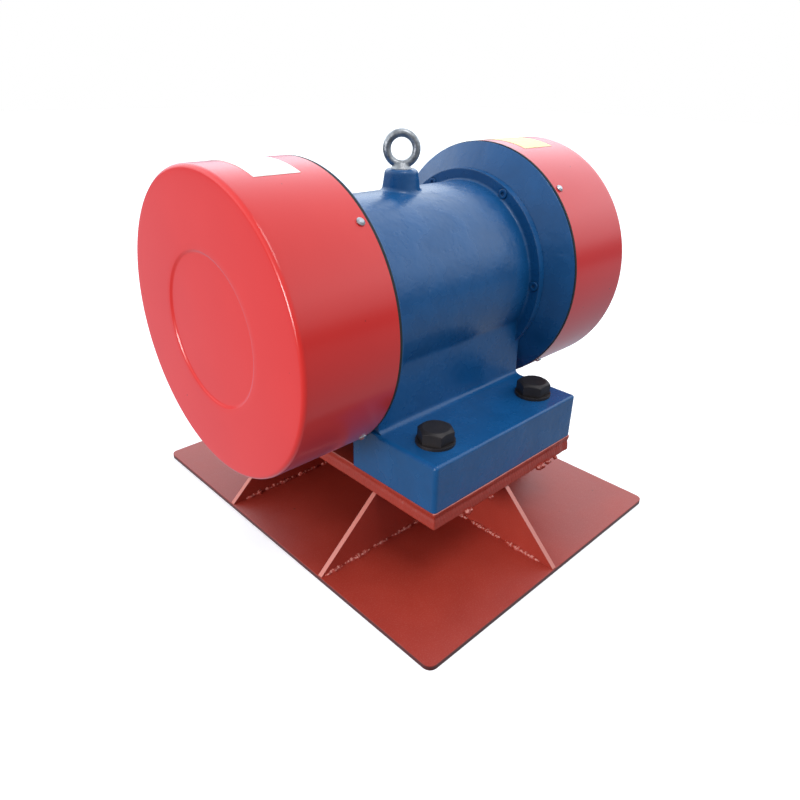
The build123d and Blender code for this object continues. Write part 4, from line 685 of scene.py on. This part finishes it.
def flame_cut_plate(name, low, high, shape):
    """The top plate: a rectangle with rounded corners carried through the plate's height. The outline goes in
    by a quarter circle at both faces, in and out by the torch's drag lines, which lean, and by a slow and a
    rough sum of waves, and in by a bell curve of the level, which is a groove all round."""
    corner = shape.plate_corner
    half = np.array([(high.x - low.x) / 2, (high.y - low.y) / 2])
    runs = []
    quarter = np.linspace(0, np.pi / 2, 8, endpoint=False)
    for turn in range(4):
        run = (half[1], half[0])[turn % 2] - corner
        reach = (half[0], half[1])[turn % 2]
        t = np.arange(-run, run, EDGE_STEP)
        side = np.stack([np.full_like(t, reach), t], axis=-1)
        bend = np.stack([reach - corner + corner * np.cos(quarter), run + corner * np.sin(quarter)], axis=-1)
        line = np.concatenate([side, bend])
        out = np.concatenate([
            np.tile([1.0, 0.0], (len(t), 1)), np.stack([np.cos(quarter), np.sin(quarter)], axis=-1)])
        a = turn * np.pi / 2
        spin = np.array([[np.cos(a), np.sin(a)], [-np.sin(a), np.cos(a)]])
        runs.append((line @ spin, out @ spin))
    line = np.concatenate([r[0] for r in runs])
    out = np.concatenate([r[1] for r in runs])
    s = np.concatenate([[0], np.cumsum(np.linalg.norm(np.diff(line, axis=0), axis=1))])
    total = s[-1] + EDGE_STEP
    height = high.z - low.z
    lip = shape.plate_lip
    level = np.concatenate([
        lip * (1 - np.cos(np.linspace(0, np.pi / 2, 4, endpoint=False))), np.linspace(lip, height - lip, 15),
        height - lip * (1 - np.cos(np.linspace(np.pi / 2, 0, 5)[1:]))])
    edge = np.clip(np.minimum(level, height - level) / lip, 0, 1)
    inset = lip * (1 - np.sqrt(1 - (1 - edge) ** 2))
    lean = level[:, None] * DRAG_LEAN
    drag = np.sin(2 * np.pi * np.round(total / shape.drag_pitch) * (s[None, :] + lean) / total)
    slow = ripple(total, *SLOW_WAVES)(s)[None, :]
    rough = ripple(total, *ROUGH_WAVES)(s)[None, :] * (0.4 + 0.6 * (1 - level[:, None] / height))
    groove = np.exp(-((level / height - GROOVE_LEVEL) / GROOVE_WIDTH) ** 2)[:, None]
    wander = shape.drag_depth * (DRAG * drag + SLOW * slow + ROUGH * rough - SET_BACK - GROOVE * groove)
    reach = wander * np.sin(np.pi * np.clip(level / height, 0.02, 0.98))[:, None] ** 0.35 - inset[:, None]
    grid = np.empty((len(level), len(s), 3))
    grid[..., :2] = line[None] + out[None] * reach[..., None]
    grid[..., 2] = low.z + level[:, None]
    grid[..., 0] += (low.x + high.x) / 2
    grid[..., 1] += (low.y + high.y) / 2
    return face_out(skin_of(name, grid, around=True, sharp=60))


class VibratorColours(bpy.types.PropertyGroup):
    """Paint and metal colours."""
    enamel_light: paint("Blue enamel, lit", "Blue where the coat is thick", "#165A94")
    enamel_deep: paint("Blue enamel, deep", "Blue where the coat is thin", "#10497A")
    cover_light: paint("Cover red, lit", "Lighter red of the covers", "#E0352F")
    cover_deep: paint("Cover red, deep", "Deeper red of the covers", "#D42C28")
    bloom: paint("Cover bloom", "Sheen of the dust film on the covers", "#B8CCFF")
    nick: paint("Nicks", "Bare steel in small nicks", "#5A1A1C")
    primer_light: paint("Primer, light", "Primer where it is thick", "#AC3828")
    primer_deep: paint("Primer, deep", "Primer where it is thin", "#942C20")
    dust: paint("Dust", "Dust on the primer", "#B9756C")
    # Painted highlight: pale colour on the faces at about 45 degrees, where the ribs' slopes and the welds
    # catch the light.
    slope_highlight: paint("Slope highlight", "Painted pale highlight on the ribs' slopes and the welds", "#E89A8C")
    sheared_edge: paint("Sheared edge", "Thinly painted edge of the base plate", "#3A1E22")
    scale: paint("Mill scale", "Rolled skin in the primer's chips", "#4B2420")
    zinc: paint("Zinc", "Bright zinc plate", "#D3D5D8")
    zinc_dull: paint("Zinc, dull", "Weathered zinc plate", "#8F9296")
    forging_deep: paint("Forging", "Dark hollows of the forged eye", "#45474A")
    oxide_deep: paint("Black oxide", "Black oxide coat", "#1B191C")
    oxide_worn: paint("Black oxide, worn", "Rubbed black oxide", "#37302F")
    iron: paint("Grey iron", "Machined grey iron", "#8A8B8E")
    iron_deep: paint("Graphite", "Graphite flakes in the iron", "#4E4F52")
    steel: paint("Ground steel", "Shaft and bearing steel", "#C4C6CA")
    core: paint("Core sheet", "Edge of a core sheet", "#8B8E95")
    core_varnish: paint("Core varnish", "Varnish between core sheets", "#3E434C")
    copper: paint("Copper wire", "Enamelled copper wire", "#B4622C")
    varnish: paint("Varnish", "Varnish between the wires", "#4A2412")
    aluminium: paint("Aluminium", "Die-cast aluminium", "#D6D8DA")
    aluminium_grey: paint("Aluminium, grey", "Grey mottle of the casting", "#A9ACB0")
    brass: paint("Brass", "Machined brass", "#D9B45C")
    brass_tarnish: paint("Brass, tarnished", "Tarnish on the brass", "#A37F3A")
    rubber: paint("Rubber", "Black rubber sheet", "#161616")
    rubber_bloom: paint("Rubber bloom", "Dust on the rubber", "#2B2B2A")
    plastic: paint("Plastic", "Gland and terminal block", "#1C1D1F")
    label_white: paint("White label", "Film on the left cover", "#F4F2EA")
    label_yellow: paint("Yellow label", "Film on the right cover", "#EBDC8C")
    label_stain: paint("Label stain", "Rubbed patches of the labels", "#D8CDB4")
    floor: paint("Floor", "Studio floor", "#F6F6F6")
    floor_mottle: paint("Floor mottle", "Faint mottle of the floor", "#F3F3F3")


class VibratorSizes(bpy.types.PropertyGroup):
    """Sizes of the pieces that dress the motor."""
    corner_radius: length("Cover corner", "Radius between a cover's face and skirt", 4 * MM)
    wall: length("Cover wall", "Sheet thickness of a cover", 2 * MM)
    panel_radius: length("Panel radius", "Radius of the pressed panel", 65.5 * MM)
    panel_depth: length("Panel depth", "How far the panel is pressed in", 1.5 * MM)
    panel_slope: length("Panel slope", "Width of the panel's slope", 4 * MM)
    wobble: length("Cover wobble", "How far the sheet is out of true", 0.18 * MM)
    segments: bpy.props.IntProperty(
        name="Cover segments", description="Faces round a cover", default=220, min=24)
    label_lift: length("Label lift", "Paste under a label", 0.05 * MM)
    label_film: length("Label film", "Thickness of a label", 0.2 * MM)
    label_corner: length("Label corner", "Corner radius of a label", 2 * MM)
    bead_radius: length("Bead radius", "Radius of a weld bead", 2.8 * MM)
    pool_pitch: length("Pool pitch", "Distance between weld ripples", 3.2 * MM)
    wander: bpy.props.FloatProperty(
        name="Bead wander", description="Share by which a bead swells and shrinks", default=0.28,
        subtype="FACTOR")
    stitch: length("Stitch length", "Usual length of a bead", 34 * MM)
    stitch_gap: length("Stitch gap", "Usual gap between beads", 9 * MM)
    plate_corner: length("Plate corner", "Corner radius of the top plate", 3 * MM)
    plate_lip: length("Plate lip", "Melted edge of the top plate", 1.8 * MM)
    drag_pitch: length("Drag line pitch", "Distance between the torch's drag lines", 3.5 * MM)
    drag_depth: length("Drag line depth", "Depth of the torch's drag lines", 0.9 * MM)
    floor_size: length("Floor size", "Side of the studio floor", 16.0)
    key_power: bpy.props.FloatProperty(
        name="Key light", description="Power of the main soft light in watts", default=20.0, min=0)
    sky_power: bpy.props.FloatProperty(
        name="Surrounding light", description="Strength of the light from all round", default=1.45, min=0)


class PieceOperator:
    """What the operators share: a place in the undo list and the scene's settings."""
    bl_options = {"REGISTER", "UNDO"}

    def settings(self, context):
        return context.scene.vibrator_sizes, context.scene.vibrator_colours


class VIBRATOR_OT_covers(PieceOperator, bpy.types.Operator):
    """Spun sheet covers over the weights, in baked enamel"""
    bl_idname = "vibrator.covers"
    bl_label = "Weight covers"

    def execute(self, context):
        sizes, colours = self.settings(context)
        enamel = sheet_enamel(colours)
        for name, side in (("left", -1), ("right", 1)):
            cover = weight_cover("spun_cover_" + name, side, sizes)
            settle(cover, "root", "red_sheet", enamel, "weight_cover_" + name)
        return {"FINISHED"}


class VIBRATOR_OT_labels(PieceOperator, bpy.types.Operator):
    """Blank films on top of the covers"""
    bl_idname = "vibrator.labels"
    bl_label = "Blank labels"

    def execute(self, context):
        sizes, colours = self.settings(context)
        white = label_film("White vinyl film", colours.label_white, colours.label_stain)
        yellow = label_film("Yellow vinyl film", colours.label_yellow, colours.label_stain)
        settle(wrapped_label("left_label", *LEFT_LABEL, sizes), "root", "red_sheet", white)
        settle(wrapped_label("right_label", *RIGHT_LABEL, sizes), "root", "red_sheet", yellow)
        return {"FINISHED"}


class VIBRATOR_OT_bracket(PieceOperator, bpy.types.Operator):
    """Primed plates, the flame-cut top plate and the hand-laid welds"""
    bl_idname = "vibrator.bracket"
    bl_label = "Welded bracket"

    def execute(self, context):
        sizes, colours = self.settings(context)
        primer = red_oxide(colours)
        dress(PRIMED, primer)
        plate = flame_cut_plate("flame_cut_plate", PLATE_LOW, PLATE_HIGH, sizes)
        settle(plate, "root", "primer", primer, "top_plate")
        base, top = BASE_HIGH.z, PLATE_LOW.z
        foot, head = RIB_HIGH.x - FOOT_SHORT, PLATE_HIGH.x - HEAD_SHORT
        cross_foot, cross_head = CROSS_HIGH.y - FOOT_SHORT, PLATE_HIGH.y - HEAD_SHORT
        beads = []
        seed = 1
        for y in (RIB_LOW.y, RIB_HIGH.y, -RIB_LOW.y, -RIB_HIGH.y):
            for side in (-1, 1):
                beads += stitches((side * CROSSING, y, base), (side * foot, y, base), sizes, seed)
                beads += stitches((side * CROSSING, y, top), (side * head, y, top), sizes, seed + 50)
                seed += 1
        for x in (CROSS_LOW.x, CROSS_HIGH.x):
            for side in (-1, 1):
                near = side * (RIB_HIGH.y + CROSSING / 2)
                beads += stitches((x, near, base), (x, side * cross_foot, base), sizes, seed)
                beads += stitches((x, near, top), (x, side * cross_head, top), sizes, seed + 50)
                beads += stitches((x, near, base), (x, near, top), sizes, seed + 90)
                seed += 1
        # Drops of slag hang from the top plate's lower edge where the torch paused.
        for x, run in SLAG_DROPS:
            for y in (PLATE_LOW.y, PLATE_HIGH.y):
                beads.append(weld_bead((x, y, top), (x + run, y, top), sizes, seed))
                seed += 1
        settle(joined("weld_beads", beads), "root", "primer", primer)
        return {"FINISHED"}


class VIBRATOR_OT_castings(PieceOperator, bpy.types.Operator):
    """Blue enamel on the frame, the shields and the terminal box"""
    bl_idname = "vibrator.castings"
    bl_label = "Enamelled castings"

    def execute(self, context):
        _, colours = self.settings(context)
        dress(CASTINGS, cast_enamel(colours))
        return {"FINISHED"}


class VIBRATOR_OT_fasteners(PieceOperator, bpy.types.Operator):
    """Black foot bolts, zinc screws and the forged lifting eye"""
    bl_idname = "vibrator.fasteners"
    bl_label = "Bolts, screws and lifting eye"

    def execute(self, context):
        _, colours = self.settings(context)
        dress(BLACK_STEEL, black_oxide(colours))
        dress(ZINC, zinc_plate(colours))
        dress(("lifting_eye",), forged_zinc(colours))
        return {"FINISHED"}


class VIBRATOR_OT_inner_parts(PieceOperator, bpy.types.Operator):
    """Finishes of the weights, bearings, shaft, cores, winding and terminals"""
    bl_idname = "vibrator.inner_parts"
    bl_label = "Inner parts"

    def execute(self, context):
        _, colours = self.settings(context)
        dress(GREY_IRON, machined_iron(colours))
        dress(GROUND_STEEL, ground_steel(colours))
        dress(("stator_core", "rotor_core"), core_plate(colours))
        dress(("stator_winding",), varnished_copper(colours))
        dress(("rotor_cage",), die_cast(colours))
        dress(BRASS, machined_brass(colours))
        dress(RUBBER, sheet_rubber(colours))
        dress(("terminal_block", "gland_body", "gland_nut"), moulded_plastic(colours))
        return {"FINISHED"}


class VIBRATOR_OT_stage(PieceOperator, bpy.types.Operator):
    """Pale floor, soft lights and the camera"""
    bl_idname = "vibrator.stage"
    bl_label = "Studio"

    def execute(self, context):
        sizes, colours = self.settings(context)
        reach = np.array([-0.5, 0.5]) * sizes.floor_size
        level = np.full((2, 2), CAD_LOW.z - FLOOR_GAP)
        grid = np.stack([*np.meshgrid(reach, reach, indexing="ij"), level], axis=-1)
        floor = skin_of("studio_floor", grid)
        floor.data.materials.append(pale_floor(colours))
        scene = context.scene
        scene.view_settings.view_transform = "Standard"
        floor.visible_diffuse = False
        floor.visible_glossy = False
        self.light("key_light", KEY_PLACE, KEY_SIDE, sizes.key_power)
        self.light("top_light", TOP_PLACE, TOP_SIDE, sizes.key_power * TOP_SHARE)
        scene.world = self.air(sizes)
        self.camera(scene)
        return {"FINISHED"}

    def air(self, sizes):
        """Soft light all round on white, brighter halfway up and behind, with a dark band at the horizon."""
        world = bpy.data.worlds.new("Studio")
        world.use_nodes = True
        tree = world.node_tree
        tree.nodes.clear()
        look = add(tree, "ShaderNodeTexCoord").outputs["Generated"]
        height = add(tree, "ShaderNodeSeparateXYZ", {"Vector": look}).outputs["Z"]
        level = add(tree, "ShaderNodeMapRange", {"Value": height, "From Min": -1.0, "From Max": 1.0})
        dome = add(tree, "ShaderNodeValToRGB", {"Fac": level.outputs["Result"]})
        ramp = dome.color_ramp
        ramp.elements[0].position, ramp.elements[-1].position = SKY[0][0], SKY[-1][0]
        for position, _ in SKY[1:-1]:
            ramp.elements.new(position)
        for element, (_, shade) in zip(ramp.elements, SKY):
            element.color = (*(shade * part for part in SKY_TINT), 1)
        behind = add(tree, "ShaderNodeVectorMath", {0: look, 1: BRIGHT_SIDE}, operation="DOT_PRODUCT")
        lift = add(tree, "ShaderNodeMapRange", {
            "Value": behind.outputs["Value"], "From Min": -0.9, "From Max": 0.9,
            "To Min": 0.5, "To Max": 2.2})
        strength = add(tree, "ShaderNodeMath", {
            0: lift.outputs["Result"], 1: sizes.sky_power}, operation="MULTIPLY")
        glow = add(tree, "ShaderNodeBackground", {
            "Color": dome.outputs["Color"], "Strength": strength.outputs["Value"]})
        sweep = add(tree, "ShaderNodeBackground", {"Color": (1, 1, 1), "Strength": 1.0})
        ray = add(tree, "ShaderNodeLightPath").outputs["Is Camera Ray"]
        both = add(tree, "ShaderNodeMixShader", {
            "Fac": ray, 1: glow.outputs["Background"], 2: sweep.outputs["Background"]})
        add(tree, "ShaderNodeOutputWorld", {"Surface": both.outputs["Shader"]})
        return world

    def light(self, name, place, size, power):
        """A square soft box that looks at the motor's middle."""
        lamp = bpy.data.lights.new(name, "AREA")
        lamp.shape = "SQUARE"
        lamp.size = size
        lamp.energy = power
        box = bpy.data.objects.new(name, lamp)
        aim = (CAD_LOW + CAD_HIGH) / 2 - Vector(place)
        box.matrix_world = Matrix.Translation(place) @ aim.to_track_quat("-Z", "Y").to_matrix().to_4x4()
        bpy.context.scene.collection.objects.link(box)

    def camera(self, scene):
        """Stands the camera where the photograph was taken, turned by its small roll."""
        lens = bpy.data.cameras.new("photo_view")
        lens.sensor_width = 36
        lens.lens = 36 * FOCAL_PIXELS / IMAGE_PIXELS
        back = -CAMERA_AIM.normalized()
        right = Vector((0, 0, 1)).cross(back).normalized()
        up = back.cross(right)
        tilted = right * np.cos(CAMERA_ROLL) + up * np.sin(CAMERA_ROLL)
        turn = Matrix((tilted, back.cross(tilted), back)).transposed().to_4x4()
        view = bpy.data.objects.new("photo_view", lens)
        view.matrix_world = Matrix.Translation(CAMERA_PLACE) @ turn
        scene.collection.objects.link(view)
        scene.camera = view


OPERATORS = (
    VIBRATOR_OT_stage, VIBRATOR_OT_covers, VIBRATOR_OT_labels, VIBRATOR_OT_bracket, VIBRATOR_OT_castings,
    VIBRATOR_OT_fasteners, VIBRATOR_OT_inner_parts)


class VIBRATOR_PT_pieces(bpy.types.Panel):
    """Lists the motor's pieces and their settings"""
    bl_idname = "VIBRATOR_PT_pieces"
    bl_label = "Vibration motor"
    bl_space_type = "VIEW_3D"
    bl_region_type = "UI"
    bl_category = "Vibration motor"

    def draw(self, context):
        for operator in OPERATORS:
            self.layout.operator(operator.bl_idname)
        for group in (context.scene.vibrator_sizes, context.scene.vibrator_colours):
            box = self.layout.box()
            for name in group.__annotations__:
                box.prop(group, name)


CLASSES = (VibratorColours, VibratorSizes, *OPERATORS, VIBRATOR_PT_pieces)


def register():
    for made in CLASSES:
        bpy.utils.register_class(made)
    bpy.types.Scene.vibrator_sizes = bpy.props.PointerProperty(type=VibratorSizes)
    bpy.types.Scene.vibrator_colours = bpy.props.PointerProperty(type=VibratorColours)


def unregister():
    del bpy.types.Scene.vibrator_colours
    del bpy.types.Scene.vibrator_sizes
    for made in reversed(CLASSES):
        bpy.utils.unregister_class(made)


def main():
    """Makes every piece and the stage."""
    register()
    bpy.ops.vibrator.stage()
    bpy.ops.vibrator.covers()
    bpy.ops.vibrator.labels()
    bpy.ops.vibrator.bracket()
    bpy.ops.vibrator.castings()
    bpy.ops.vibrator.fasteners()
    bpy.ops.vibrator.inner_parts()


if __name__ == "__main__":
    main()
